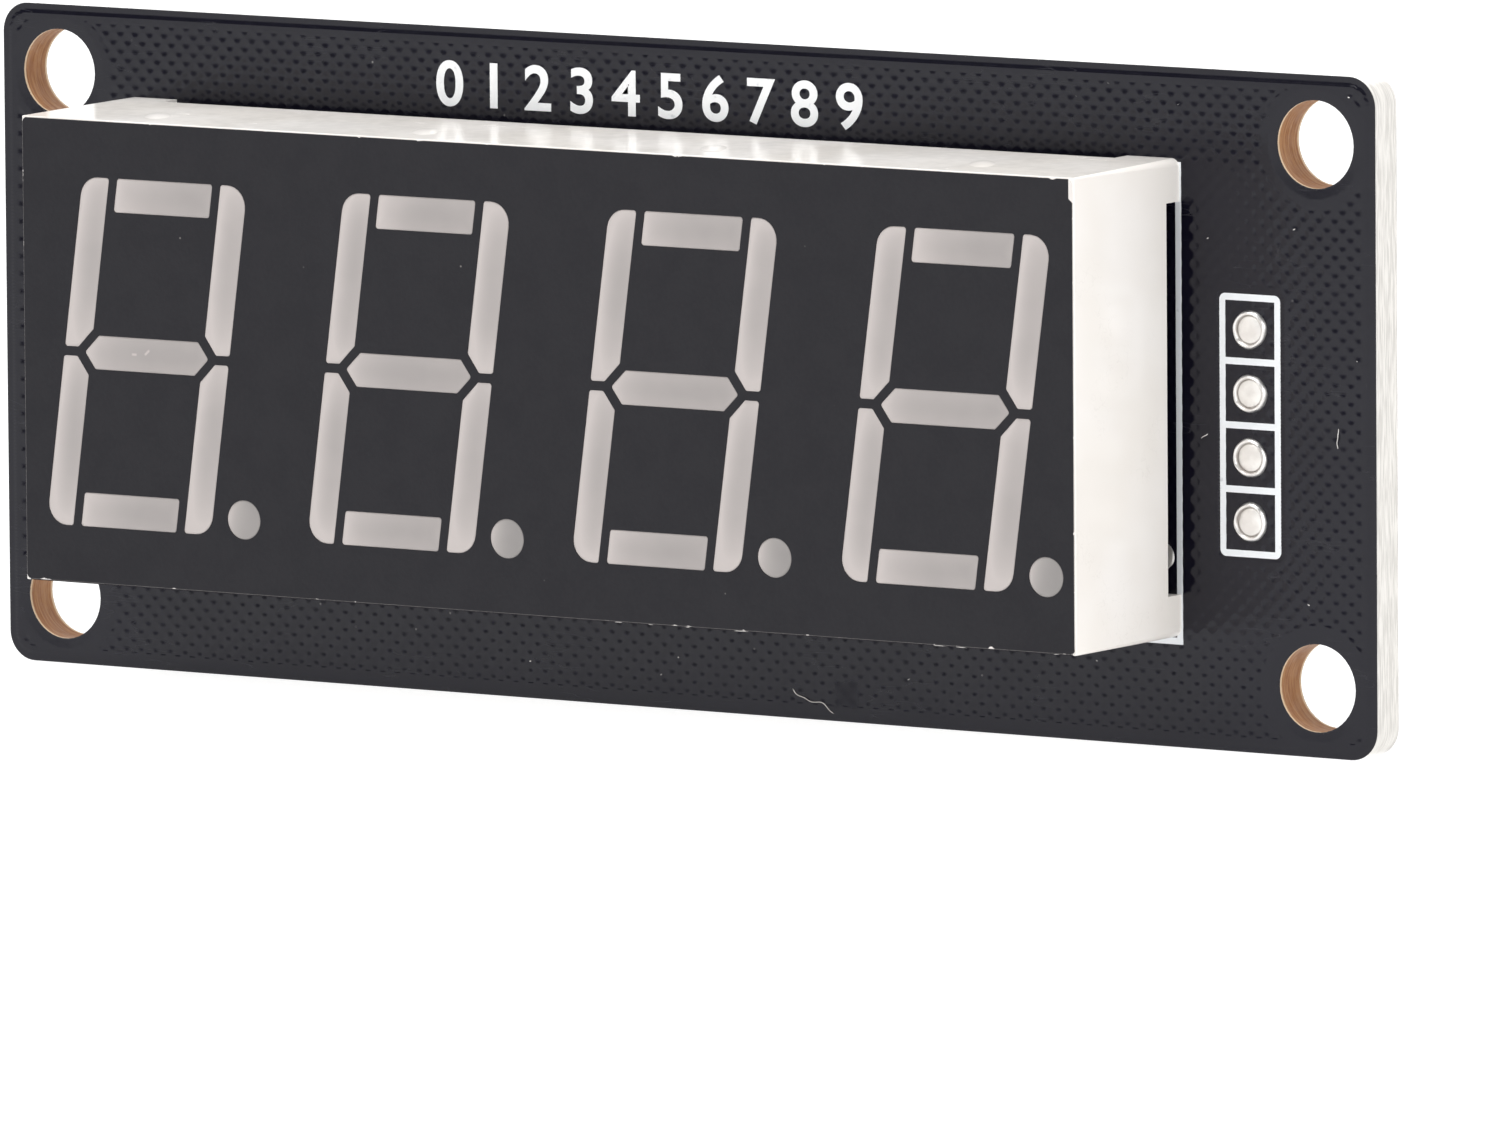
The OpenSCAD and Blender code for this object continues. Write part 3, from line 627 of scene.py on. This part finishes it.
def pin_joints():
    """Solder of the display's pins: a profile turned about each, with a plug, a pad edge and a hollow cone.

    The cone's radius falls from the pad to the pin with the square of the share of its height left.
    """
    low, high = node_box("display_pin_solder")
    share = np.linspace(0, 1, 9)
    cone = PIN_R + (PIN_PAD_R - PIN_R) * (1 - share) ** 2
    climb = board_high[1] + PIN_PAD_T + (high[1] - board_high[1] - PIN_PAD_T) * share
    radius = np.concatenate([[PIN_R, PIN_HOLE_R, PIN_HOLE_R, PIN_PAD_R], cone, [PIN_R]])
    level = np.concatenate([[low[1], low[1], board_high[1], board_high[1]], climb, [low[1]]])
    places = np.array(pin_places[1] + pin_places[-1])
    turn = full_turn(40)
    count = np.arange(len(places))[:, None, None]
    on_pad = smooth_step(radius, PIN_HOLE_R, PIN_PAD_R)[:, None]
    uneven = 1 + PIN_UNEVEN * np.sin(2 * turn + 1.9 * count) * on_pad
    out = radius[:, None] * uneven
    points = np.stack([places[:, 0, None, None] + out * np.cos(turn),
                       np.broadcast_to(level[:, None], out.shape),
                       places[:, 1, None, None] + out * np.sin(turn)], axis=-1).reshape(-1, 3)
    faces = grid_faces(len(radius), len(turn), closed=True)
    faces = copied_faces(faces, len(places), radius.size * turn.size)
    piece = make_piece("display_pin_joints", points, faces, "solder")
    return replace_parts(piece, "display_pin_solder")


def back_outlines():
    """Printed outlines round the parts on the back: a rectangular line carried round each box."""
    inside_leads = np.array([OUTLINE_GAP, -OUTLINE_PAST_LEADS])
    boxes = [(lead_low[[0, 2]] - inside_leads, lead_high[[0, 2]] + inside_leads)]
    for parts in OUTLINED_PARTS:
        corners = np.array([node_box(part) for part in parts])[:, :, [0, 2]]
        boxes.append((corners[:, 0].min(axis=0) - OUTLINE_GAP, corners[:, 1].max(axis=0) + OUTLINE_GAP))
    low, high = (np.array(side)[:, None, None] for side in zip(*boxes))
    corner = np.array([(0, 0), (1, 0), (1, 1), (0, 1)])[:, None]
    inset = OUTLINE_W * np.array([0, 0, 1, 1, 0])[:, None]
    flat = low + (high - low) * corner + inset * (1 - 2 * corner)
    level = board_high[1] + OUTLINE_T * np.array([0, 1, 1, 0, 0])
    points = np.stack([flat[..., 0], np.broadcast_to(level, flat.shape[:3]), flat[..., 1]], axis=-1)
    points = points.transpose(0, 2, 1, 3)
    faces = grid_faces(len(level), len(corner), closed=True)
    faces = copied_faces(faces, len(boxes), len(level) * len(corner))
    piece = make_piece("back_outlines", points.reshape(-1, 3), faces, "board_print")
    piece.data.polygons.foreach_set("use_smooth", np.zeros(len(piece.data.polygons), dtype=bool))
    return piece


def lint_fibre(name, start, end, sway_by):
    """Lint on the board: a thin tube carried along a chord that sways by two sine waves."""
    share = np.linspace(0, 1, 48)
    start = np.array(start)
    chord = np.array(end) - start
    side = np.array([-chord[1], chord[0]]) / np.hypot(*chord)
    sway = sway_by * (np.sin(2 * math.pi * share) + 0.35 * np.sin(5 * math.pi * share))
    path = start + share[:, None] * chord + sway[:, None] * side
    lift = -(LINT_LIFT + LINT_ARCH * np.sin(math.pi * share))
    turn = full_turn(8)
    thick = LINT_R * np.clip(np.minimum(share, 1 - share) * 30, 0, 1)[:, None]
    slope = np.gradient(path, axis=0)
    slope /= np.linalg.norm(slope, axis=1, keepdims=True)
    points = np.stack([
        path[:, :1] - slope[:, 1:] * thick * np.cos(turn),
        lift[:, None] + thick * np.sin(turn),
        path[:, 1:] + slope[:, :1] * thick * np.cos(turn),
    ], axis=-1).reshape(-1, 3)
    return make_piece(name, points, grid_faces(len(share), len(turn), closed=True), "lint")


def dust_specks():
    """Specks lying on the board: squashed balls, each stretched and turned its own way."""
    polar = np.linspace(0, math.pi, 5)
    turn = full_turn(8)
    count = np.arange(len(SPECK_PLACES))[:, None, None]
    size = SPECK_R * (0.7 + 0.5 * np.sin(count * 2.4) ** 2)
    ball_x = size * np.sin(polar)[:, None] * np.cos(turn)
    ball_z = 0.6 * size * np.sin(polar)[:, None] * np.sin(turn + count)
    ball_y = -0.5 * size * np.cos(polar)[:, None] * np.ones_like(turn) - MASK_FLOOR
    points = np.stack([ball_x + SPECK_PLACES[:, 0, None, None], ball_y,
                       ball_z + SPECK_PLACES[:, 1, None, None]], axis=-1).reshape(-1, 3)
    faces = grid_faces(len(polar), len(turn), closed=True)
    faces = copied_faces(faces, len(SPECK_PLACES), polar.size * turn.size)
    return make_piece("dust_specks", points, faces, "lint")


def gate_marks():
    """Low domes on the display's upper wall: ovals that rise with the square of the way in."""
    share = np.linspace(0, 1, 7)[:, None]
    turn = full_turn(28)
    long = MARK_HALF[1] * (1 - share) * np.sin(turn)
    wide = MARK_HALF[0] * (1 - share) * np.cos(turn)
    across = wide * math.cos(MARK_TURN) - long * math.sin(MARK_TURN)
    deep = wide * math.sin(MARK_TURN) + long * math.cos(MARK_TURN)
    rise = housing_high[2] - WALL_DRAFT + MARK_RISE * (1 - (1 - share) ** 2)
    dome = np.stack([across, deep, np.broadcast_to(rise, across.shape)], axis=-1).reshape(-1, 3)
    shift = np.insert(MARK_PLACES, 2, 0, axis=1)
    points = (dome + shift[:, None]).reshape(-1, 3)
    faces = grid_faces(len(share), len(turn), closed=True)
    faces = copied_faces(faces, len(shift), len(dome))
    return make_piece("gate_marks", points, faces, "housing_white")


# Finishes

class Nodes:
    """Short calls that build one node tree."""

    def __init__(self, tree):
        self.tree = tree

    def feed(self, value, socket):
        """Links a socket, or sets a plain value."""
        if isinstance(value, bpy.types.NodeSocket):
            self.tree.links.new(value, socket)
        else:
            socket.default_value = value

    def add(self, kind, inputs=(), **settings):
        """New node with settings, and inputs by name or number."""
        node = self.tree.nodes.new(kind)
        for name, value in settings.items():
            setattr(node, name, value)
        for name, value in dict(inputs).items():
            self.feed(value, node.inputs[name])
        return node

    def math(self, operation, *values):
        """One sum, product or comparison of numbers."""
        return self.add("ShaderNodeMath", enumerate(values), operation=operation).outputs[0]

    def scaled(self, place, by):
        """A place stretched along its axes."""
        return self.add("ShaderNodeVectorMath", {0: place, 1: by}, operation="MULTIPLY").outputs[0]

    def split(self, place):
        """The three coordinates of a place."""
        return self.add("ShaderNodeSeparateXYZ", {"Vector": place}).outputs

    def off(self, value, middle):
        """Distance of a number from a middle."""
        return self.math("ABSOLUTE", self.math("SUBTRACT", value, middle))

    def noise(self, place, scale, detail=3.0):
        """Cloudy noise from 0 to 1."""
        inputs = {"Vector": place, "Scale": scale, "Detail": detail}
        return self.add("ShaderNodeTexNoise", inputs).outputs["Fac"]

    def ramp(self, value, low, high, to_low=0.0, to_high=1.0):
        """Smooth step of a value between low and high."""
        inputs = {"Value": value, "From Min": low, "From Max": high, "To Min": to_low, "To Max": to_high}
        return self.add("ShaderNodeMapRange", inputs, interpolation_type="SMOOTHSTEP").outputs["Result"]

    def near_end(self, value, end, fade):
        """Smooth step that starts and is full at two distances before an end."""
        return self.ramp(value, end - fade[0], end - fade[1])

    def blend(self, share, first, second):
        """Colour between two colours."""
        return self.add("ShaderNodeMix", {0: share, 6: first, 7: second}, data_type="RGBA").outputs[2]

    def bump(self, height, depth, strength=1.0):
        """Normal from a height, whose full step is depth millimetres."""
        inputs = {"Height": height, "Distance": depth * MM, "Strength": strength}
        return self.add("ShaderNodeBump", inputs).outputs["Normal"]

    def effect(self, group, **inputs):
        """One of the shared effects, with its own values."""
        node = self.add("ShaderNodeGroup", node_tree=group)
        for name, value in inputs.items():
            self.feed(value, node.inputs[name.capitalize()])
        return node.outputs


def colour(red, green, blue):
    """Linear colour of a screen colour given from 0 to 255."""
    screen = np.array([red, green, blue]) / 255
    linear = np.where(screen <= 0.04045, screen / 12.92, ((screen + 0.055) / 1.055) ** 2.4)
    return (*linear.tolist(), 1.0)


def new_effect(name, inputs, outputs):
    """Empty node group with the named sockets; gives the group, its calls, its inputs and its outputs."""
    group = bpy.data.node_groups.new(name, "ShaderNodeTree")
    group.interface.new_socket("Place", in_out="INPUT", socket_type="NodeSocketVector")
    for socket in inputs:
        group.interface.new_socket(socket, in_out="INPUT", socket_type="NodeSocketFloat")
    for socket in outputs:
        group.interface.new_socket(socket, in_out="OUTPUT", socket_type="NodeSocketFloat")
    nodes = Nodes(group)
    return group, nodes, nodes.add("NodeGroupInput").outputs, nodes.add("NodeGroupOutput").inputs


def grain_effect():
    """Fine grain: a height, and a roughness that wanders between Low and High."""
    group, nodes, given, out = new_effect("fine grain", ("Scale", "Low", "High"), ("Height", "Rough"))
    fine = nodes.noise(given["Place"], given["Scale"], 4.0)
    broad = nodes.noise(given["Place"], nodes.math("MULTIPLY", given["Scale"], 0.11), 2.0)
    both = nodes.math("MULTIPLY_ADD", fine, 0.4, nodes.math("MULTIPLY", broad, 0.6))
    nodes.feed(fine, out["Height"])
    nodes.feed(nodes.ramp(both, 0.35, 0.65, given["Low"], given["High"]), out["Rough"])
    return group


def dust_effect():
    """Settled dust: small round specks in scattered patches."""
    group, nodes, given, out = new_effect("settled dust", ("Scale", "Size"), ("Mask",))
    cells = nodes.add("ShaderNodeTexVoronoi", {"Vector": given["Place"], "Scale": given["Scale"]})
    near = nodes.ramp(cells.outputs["Distance"], given["Size"], 0.0)
    picked = nodes.ramp(nodes.split(cells.outputs["Color"])[0], 0.72, 0.78)
    patch = nodes.ramp(nodes.noise(given["Place"], 0.25, 1.0), 0.45, 0.6)
    nodes.feed(nodes.math("MULTIPLY", nodes.math("MULTIPLY", near, picked), patch), out["Mask"])
    return group


def scuff_effect():
    """Hairline scuffs: thin level lines of a stretched noise, only in patches."""
    group, nodes, given, out = new_effect("hairline scuffs", ("Width",), ("Mask",))
    turned = nodes.add("ShaderNodeMapping", {"Vector": given["Place"], "Rotation": (0.3, 0.5, 0.4),
                                             "Scale": (0.35, 2.6, 2.6)}).outputs[0]
    line = nodes.ramp(nodes.off(nodes.noise(turned, 0.7, 2.0), 0.5), given["Width"], 0.0)
    patch = nodes.ramp(nodes.noise(given["Place"], 0.3, 1.0), 0.5, 0.62)
    nodes.feed(nodes.math("MULTIPLY", line, patch), out["Mask"])
    return group


grain = grain_effect()
dust = dust_effect()
scuffs = scuff_effect()


def new_finish(name, **shader_values):
    """Empty finish: its material, node calls, shader's inputs and the place on the piece in millimetres."""
    material = bpy.data.materials.new(name)
    material.use_nodes = True
    nodes = Nodes(material.node_tree)
    shader = material.node_tree.nodes["Principled BSDF"]
    for socket, value in shader_values.items():
        shader.inputs[socket.replace("_", " ").title().replace("Ior", "IOR")].default_value = value
    place = nodes.add("ShaderNodeTexCoord").outputs["Object"]
    return material, nodes, shader.inputs, nodes.scaled(place, (1 / MM,) * 3)


def dress(nodes, shader, tint, rough, height, depth):
    """Feeds a shader its colour, its roughness and the normal of a height, depth millimetres deep."""
    nodes.feed(tint, shader["Base Color"])
    nodes.feed(rough, shader["Roughness"])
    nodes.feed(nodes.bump(height, depth), shader["Normal"])


def plain_finish(name, tones, patch_scale, grain_scale, rough, depth, speck=None, **shader_values):
    """Finish with two tones in soft patches, grain and, where given, specks of dust."""
    material, nodes, shader, place = new_finish(name, **shader_values)
    tint = nodes.blend(nodes.ramp(nodes.noise(place, patch_scale), 0.35, 0.65), *tones)
    if speck:
        tint = nodes.blend(nodes.effect(dust, place=place, scale=1.3, size=0.09)["Mask"], tint, speck)
    texture = nodes.effect(grain, place=place, scale=grain_scale, low=rough[0], high=rough[1])
    dress(nodes, shader, tint, texture["Rough"], texture["Height"], depth)
    return material


def mask_finish():
    """Black solder mask: satin gloss, faint scuffs, a little dust and one dull smudge on the front."""
    material, nodes, shader, place = new_finish("black solder mask", ior=1.43)
    specks = nodes.effect(dust, place=place, scale=1.1, size=0.08)["Mask"]
    lines = nodes.effect(scuffs, place=place, width=0.012)["Mask"]
    texture = nodes.effect(grain, place=place, scale=3.0, low=0.14, high=0.22)
    x, _, z = nodes.split(place)
    from_smudge = nodes.math("MAXIMUM", nodes.off(x, SMUDGE[0]), nodes.off(z, SMUDGE[1]))
    cloudy = nodes.math("MULTIPLY_ADD", nodes.noise(place, 2.0), 0.5, from_smudge)
    dull = nodes.ramp(cloudy, SMUDGE_R, 0.4 * SMUDGE_R, 0.0, 0.3)
    tint = nodes.blend(nodes.math("MULTIPLY", lines, 0.15), colour(6, 5, 21), colour(80, 80, 84))
    tint = nodes.blend(specks, tint, colour(150, 148, 146))
    worn = nodes.math("MULTIPLY_ADD", lines, 0.15, texture["Rough"])
    dress(nodes, shader, tint, nodes.math("ADD", worn, dull), texture["Height"], 0.004)
    return material


def laminate_finish():
    """Bare board: black faces, layered glass cloth on its edges with painted light making its upper and
    lower edges whiter, brown drilled walls in its holes.
    """
    material, nodes, shader, place = new_finish("board laminate")
    x, y, z = nodes.split(place)
    half_t = (board_high[1] - board_low[1]) / 2
    depth = nodes.off(y, (board_low[1] + board_high[1]) / 2)
    across, up = nodes.math("ABSOLUTE", x), nodes.math("ABSOLUTE", z)
    edge = nodes.math("MAXIMUM", nodes.near_end(across, board_half[0], BARE_EDGE),
                      nodes.near_end(up, board_half[1], BARE_EDGE))
    layers = nodes.noise(nodes.scaled(place, (0.5, 7.0, 0.5)), 1.6, 4.0)
    cloth = nodes.blend(nodes.ramp(layers, 0.38, 0.62), colour(197, 194, 189), colour(222, 219, 214))
    # Painted light: the board's upper and lower edges are whiter than its sides
    cloth = nodes.blend(nodes.near_end(up, board_half[1], BARE_LIT_EDGE), cloth, colour(250, 249, 247))
    drilled = nodes.blend(nodes.ramp(layers, 0.35, 0.65), colour(141, 92, 50), colour(167, 122, 79))
    drilled = nodes.blend(nodes.near_end(depth, half_t, BARE_RIM), drilled, colour(214, 190, 158))
    face = nodes.near_end(depth, half_t, BARE_FACE)
    tint = nodes.blend(face, nodes.blend(edge, drilled, cloth), colour(6, 5, 21))
    texture = nodes.effect(grain, place=place, scale=4.0, low=0.45, high=0.75)
    dress(nodes, shader, tint, nodes.math("MULTIPLY_ADD", face, -0.35, texture["Rough"]), layers, 0.03)
    return material


def print_finish():
    """White print: a little blue, thin in places so that the black shows, whitest in the numerals."""
    material, nodes, shader, place = new_finish("white board print", ior=1.45)
    texture = nodes.effect(grain, place=place, scale=5.0, low=0.4, high=0.6)
    thin = nodes.ramp(nodes.noise(place, 3.5, 4.0), 0.62, 0.78, 0.0, 0.4)
    upper = nodes.ramp(nodes.split(place)[2], *NUMERAL_WHITE)
    tint = nodes.blend(upper, colour(234, 237, 240), colour(252, 254, 255))
    tint = nodes.blend(thin, tint, colour(170, 174, 180))
    dress(nodes, shader, tint, texture["Rough"], texture["Height"], 0.006)
    return material


def housing_finish():
    """White moulding: warm, semi gloss, with faint scuffs, grime and specks."""
    material, nodes, shader, place = new_finish("white moulding", ior=1.5)
    lines = nodes.effect(scuffs, place=place, width=0.02)["Mask"]
    specks = nodes.effect(dust, place=place, scale=0.7, size=0.07)["Mask"]
    texture = nodes.effect(grain, place=place, scale=2.0, low=0.17, high=0.24)
    soft = nodes.ramp(nodes.noise(place, 0.18, 2.0), 0.35, 0.65)
    tint = nodes.blend(soft, colour(247, 243, 239), colour(241, 236, 230))
    tint = nodes.blend(nodes.math("MULTIPLY", lines, 0.12), tint, colour(190, 184, 178))
    tint = nodes.blend(specks, tint, colour(120, 112, 104))
    worn = nodes.math("MULTIPLY_ADD", lines, 0.05, texture["Rough"])
    dress(nodes, shader, tint, worn, texture["Height"], 0.0008)
    return material


def ink_finish():
    """Matte black ink, chipped to the white moulding along the face's edges and at one corner."""
    material, nodes, shader, place = new_finish("matte face ink", ior=1.4)
    x, _, z = nodes.split(place)
    middle = (ink_low + ink_high) / 2
    half = (ink_high - ink_low) / 2
    from_side = nodes.math("SUBTRACT", half[0], nodes.off(x, middle[0]))
    from_top = nodes.math("SUBTRACT", half[2], nodes.off(z, middle[2]))
    corner = nodes.math("MULTIPLY", nodes.near_end(x, ink_high[0], CORNER_CHIP_W),
                        nodes.near_end(z, ink_high[2], CORNER_CHIP_H))
    from_side = nodes.math("MULTIPLY_ADD", corner, -CORNER_CHIP, from_side)
    to_edge = nodes.math("MINIMUM", from_side, from_top)
    ragged = nodes.ramp(nodes.noise(place, 1.6, 5.0), 0.62, 0.78, 0.0, INK_RAGGED)
    chipped = nodes.ramp(nodes.math("SUBTRACT", to_edge, ragged), *INK_EDGE)
    specks = nodes.effect(dust, place=place, scale=0.8, size=0.05)["Mask"]
    texture = nodes.effect(grain, place=place, scale=6.0, low=0.5, high=0.62)
    tint = nodes.blend(specks, colour(26, 25, 31), colour(150, 145, 142))
    tint = nodes.blend(chipped, tint, colour(236, 230, 226))
    height = nodes.math("SUBTRACT", texture["Height"], chipped)
    dress(nodes, shader, tint, texture["Rough"], height, 0.012)
    return material


def resin_finish():
    """Milky resin with painted light and shade: a painted glow where the well's lit white walls would shine
    through, and a greyer tone of painted shade away from them.

    A wall's painted glow falls off with e to the minus of the reach from it.
    """
    material, nodes, shader, place = new_finish("milky resin", ior=1.5)
    inward = nodes.add("ShaderNodeAttribute", attribute_name="to_spine").outputs["Fac"]
    reach = nodes.add("ShaderNodeAttribute", attribute_name="wall_reach").outputs["Vector"]
    # Painted light: a lighter rim and a glow from each lit wall, painted into the colour
    glow = nodes.ramp(inward, 0.0, 0.9, PAINTED_RIM_GLOW, 0.0)
    for strength, from_wall in zip(PAINTED_WALL_GLOW, nodes.split(reach)):
        glow = nodes.math("MULTIPLY_ADD", nodes.math("POWER", 1 / math.e, from_wall), strength, glow)
    cloudy = nodes.ramp(nodes.noise(place, 0.45, 2.0), 0.3, 0.7, -0.08, 0.08)
    # Painted shade: the greyer base tone where the painted glow does not reach; the point's tone is darker
    # still
    deep = nodes.blend(nodes.ramp(inward, 1.1, 1.3), colour(164, 158, 156), colour(147, 143, 141))
    tint = nodes.blend(nodes.math("ADD", glow, cloudy), deep, colour(197, 189, 186))
    x, _, z = nodes.split(place)
    # Painted highlights: pale glints standing for the light chip's reflection
    for glint_x, glint_z, half_length, turn in CHIP_GLINTS:
        off_x, off_z = nodes.math("SUBTRACT", x, glint_x), nodes.math("SUBTRACT", z, glint_z)
        along, across = (
            nodes.math("ABSOLUTE", nodes.math("MULTIPLY_ADD", off_x, right,
                                              nodes.math("MULTIPLY", off_z, up)))
            for right, up in ((math.cos(turn), math.sin(turn)), (-math.sin(turn), math.cos(turn))))
        glint = nodes.math("MULTIPLY", nodes.ramp(along, half_length, 0.5 * half_length),
                            nodes.ramp(across, CHIP_GLINT_HALF_W, CHIP_GLINT_CORE))
        tint = nodes.blend(glint, tint, colour(195, 187, 184))
    texture = nodes.effect(grain, place=place, scale=4.0, low=0.3, high=0.42)
    dress(nodes, shader, tint, texture["Rough"], texture["Height"], 0.004)
    return material


def solder_finish():
    """Bright solder in soft patches, darker and duller in a thin ring along a joint's groove."""
    material, nodes, shader, place = new_finish("bright solder", metallic=1.0)
    in_groove = nodes.add("ShaderNodeAttribute", attribute_name="groove").outputs["Fac"]
    texture = nodes.effect(grain, place=place, scale=4.0, low=0.28, high=0.46)
    patch = nodes.ramp(nodes.noise(place, 1.4), 0.35, 0.65)
    tint = nodes.blend(patch, colour(250, 248, 245), colour(236, 233, 230))
    # Darker and duller in a thin ring along the joint's groove
    tint = nodes.blend(in_groove, tint, colour(150, 142, 136))
    dull = nodes.math("MULTIPLY_ADD", in_groove, 0.25, texture["Rough"])
    dress(nodes, shader, tint, dull, texture["Height"], 0.006)
    return material


finishes = {
    "board_mask": mask_finish(),
    "board_print": print_finish(),
    "housing_white": housing_finish(),
    "face_ink": ink_finish(),
    "wrapped_ink": plain_finish(
        "wrapped ink", (colour(30, 29, 33), colour(44, 42, 46)), 3.0, 6.0, (0.5, 0.62), 0.004,
        ior=1.1),
    "milky_resin": resin_finish(),
    "carrier_laminate": plain_finish(
        "carrier laminate", (colour(96, 120, 74), colour(84, 106, 64)), 0.8, 5.0, (0.4, 0.6), 0.01),
    "led_chip": plain_finish(
        "light chip", (colour(186, 170, 120), colour(170, 150, 100)), 3.0, 9.0, (0.2, 0.4), 0.002),
    "solder": solder_finish(),
    "header_insulator": plain_finish(
        "black insulator", (colour(24, 24, 25), colour(30, 30, 31)), 0.9, 7.0, (0.4, 0.6), 0.015,
        speck=colour(120, 118, 115)),
    "gilt_pin": plain_finish(
        "gilt pin", (colour(222, 190, 120), colour(206, 172, 104)), 0.7, 6.0, (0.2, 0.34), 0.0015,
        metallic=1.0),
    "chip_moulding": plain_finish(
        "chip moulding", (colour(40, 40, 42), colour(46, 46, 48)), 0.7, 8.0, (0.5, 0.7), 0.02,
        speck=colour(130, 128, 125)),
    "tinned_lead": plain_finish(
        "tinned lead", (colour(204, 204, 202), colour(186, 186, 185)), 0.8, 5.0, (0.24, 0.42), 0.01,
        metallic=1.0),
    "resistor_film": plain_finish(
        "resistor film", (colour(26, 26, 28), colour(34, 34, 36)), 2.0, 8.0, (0.3, 0.5), 0.01),
    "capacitor_ceramic": plain_finish(
        "capacitor ceramic", (colour(176, 140, 100), colour(160, 124, 86)), 1.2, 7.0, (0.4, 0.6), 0.01),
    "lint": plain_finish(
        "lint and dust", (colour(228, 225, 221), colour(205, 201, 197)), 3.0, 8.0, (0.7, 0.9), 0.01),
}
laminate = laminate_finish()

for name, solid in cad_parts.items():
    solid_slot = solid.data.materials[0].name
    solid.data.materials[0] = laminate if name == "driver_board" else finishes[solid_slot]


# Pieces

for side, edges in {"left": (board_low[0], 0), "right": (0, board_high[0])}.items():
    mask_skin(f"mask_front_{side}", front_area, front_height, board_low[1], -1, edges)
    mask_skin(f"mask_back_{side}", back_area, back_height, board_high[1], 1, edges)
numeral_row()
for joint in range(len(joint_boxes)):
    header_joint(joint)
pin_joints()
back_outlines()
for digit in range(1, DIGIT_COUNT + 1):
    digit_windows(digit)
lower_ink_wrap()
for name, (start, end, sway) in LINT.items():
    lint_fibre(name, start, end, sway)
dust_specks()
gate_marks()


# Studio

CAMERA_PLACE = (479.0068, -729.1580, 98.5171)
CAMERA_TURN = (83.03784, 0.41301, 33.06591)
CAMERA_LENS = 526.52
CAMERA_SENSOR = 36.0
FLOOR_SIDE = 12.0
ROOM_LIGHT = 0.22
WALL_LIGHT = 1.05
SOFT_LIGHTS = {
    "light above": ((-0.1, -0.1, 0.7), (0.6, 0.4), 4.2),
    "light in front": ((-0.2, -0.9, 0.5), (0.5, 0.5), 2.5),
    "light at the right": ((0.9, -0.2, 0.3), (0.6, 0.6), 3.8),
}


def studio_floor():
    """Flat pale floor under the board's lower edge."""
    mesh = bpy.data.meshes.new("studio_floor")
    corner = np.array([(-1, -1, 0), (1, -1, 0), (1, 1, 0), (-1, 1, 0)]) * FLOOR_SIDE / 2
    mesh.from_pydata((corner + (0, 0, board_low[2] * MM)).tolist(), [], [(0, 1, 2, 3)])
    material, nodes, shader, place = new_finish("pale floor", roughness=0.9, emission_strength=0.85)
    soft = nodes.ramp(nodes.noise(place, 0.01, 1.0), 0.3, 0.7)
    nodes.feed(nodes.blend(soft, colour(150, 150, 150), colour(147, 147, 147)), shader["Base Color"])
    shader["Emission Color"].default_value = colour(255, 255, 255)
    mesh.materials.append(material)
    floor = bpy.data.objects.new("studio_floor", mesh)
    bpy.context.scene.collection.objects.link(floor)


def soft_light(name, place, size, power):
    """Soft rectangular light at a place, in metres, turned to the board's middle."""
    lamp = bpy.data.lights.new(name, "AREA")
    lamp.shape = "RECTANGLE"
    lamp.size, lamp.size_y = size
    lamp.energy = power
    light = bpy.data.objects.new(name, lamp)
    light.location = place
    light.rotation_euler = (-Vector(place)).to_track_quat("-Z", "Y").to_euler()
    bpy.context.scene.collection.objects.link(light)


def surround():
    """World that is white behind the board and dims towards the front, like a lit wall in a dark room."""
    world = bpy.data.worlds.new("studio surround")
    world.use_nodes = True
    nodes = Nodes(world.node_tree)
    direction = nodes.add("ShaderNodeTexCoord").outputs["Generated"]
    behind = nodes.ramp(nodes.split(direction)[1], -0.15, 0.25)
    level = nodes.blend(behind, (*(ROOM_LIGHT,) * 3, 1), (*(WALL_LIGHT,) * 3, 1))
    nodes.feed(level, world.node_tree.nodes["Background"].inputs["Color"])
    bpy.context.scene.world = world


def studio():
    """Soft lights and the camera."""
    surround()
    bpy.context.scene.view_settings.view_transform = "Standard"
    for name, (place, size, power) in SOFT_LIGHTS.items():
        soft_light(name, place, size, power)
    lens = bpy.data.cameras.new("camera")
    lens.lens = CAMERA_LENS
    lens.sensor_width = CAMERA_SENSOR
    lens.clip_end = 100
    camera = bpy.data.objects.new("camera", lens)
    camera.location = np.array(CAMERA_PLACE) * MM
    camera.rotation_euler = np.radians(CAMERA_TURN)
    bpy.context.scene.collection.objects.link(camera)
    bpy.context.scene.camera = camera


studio_floor()
studio()
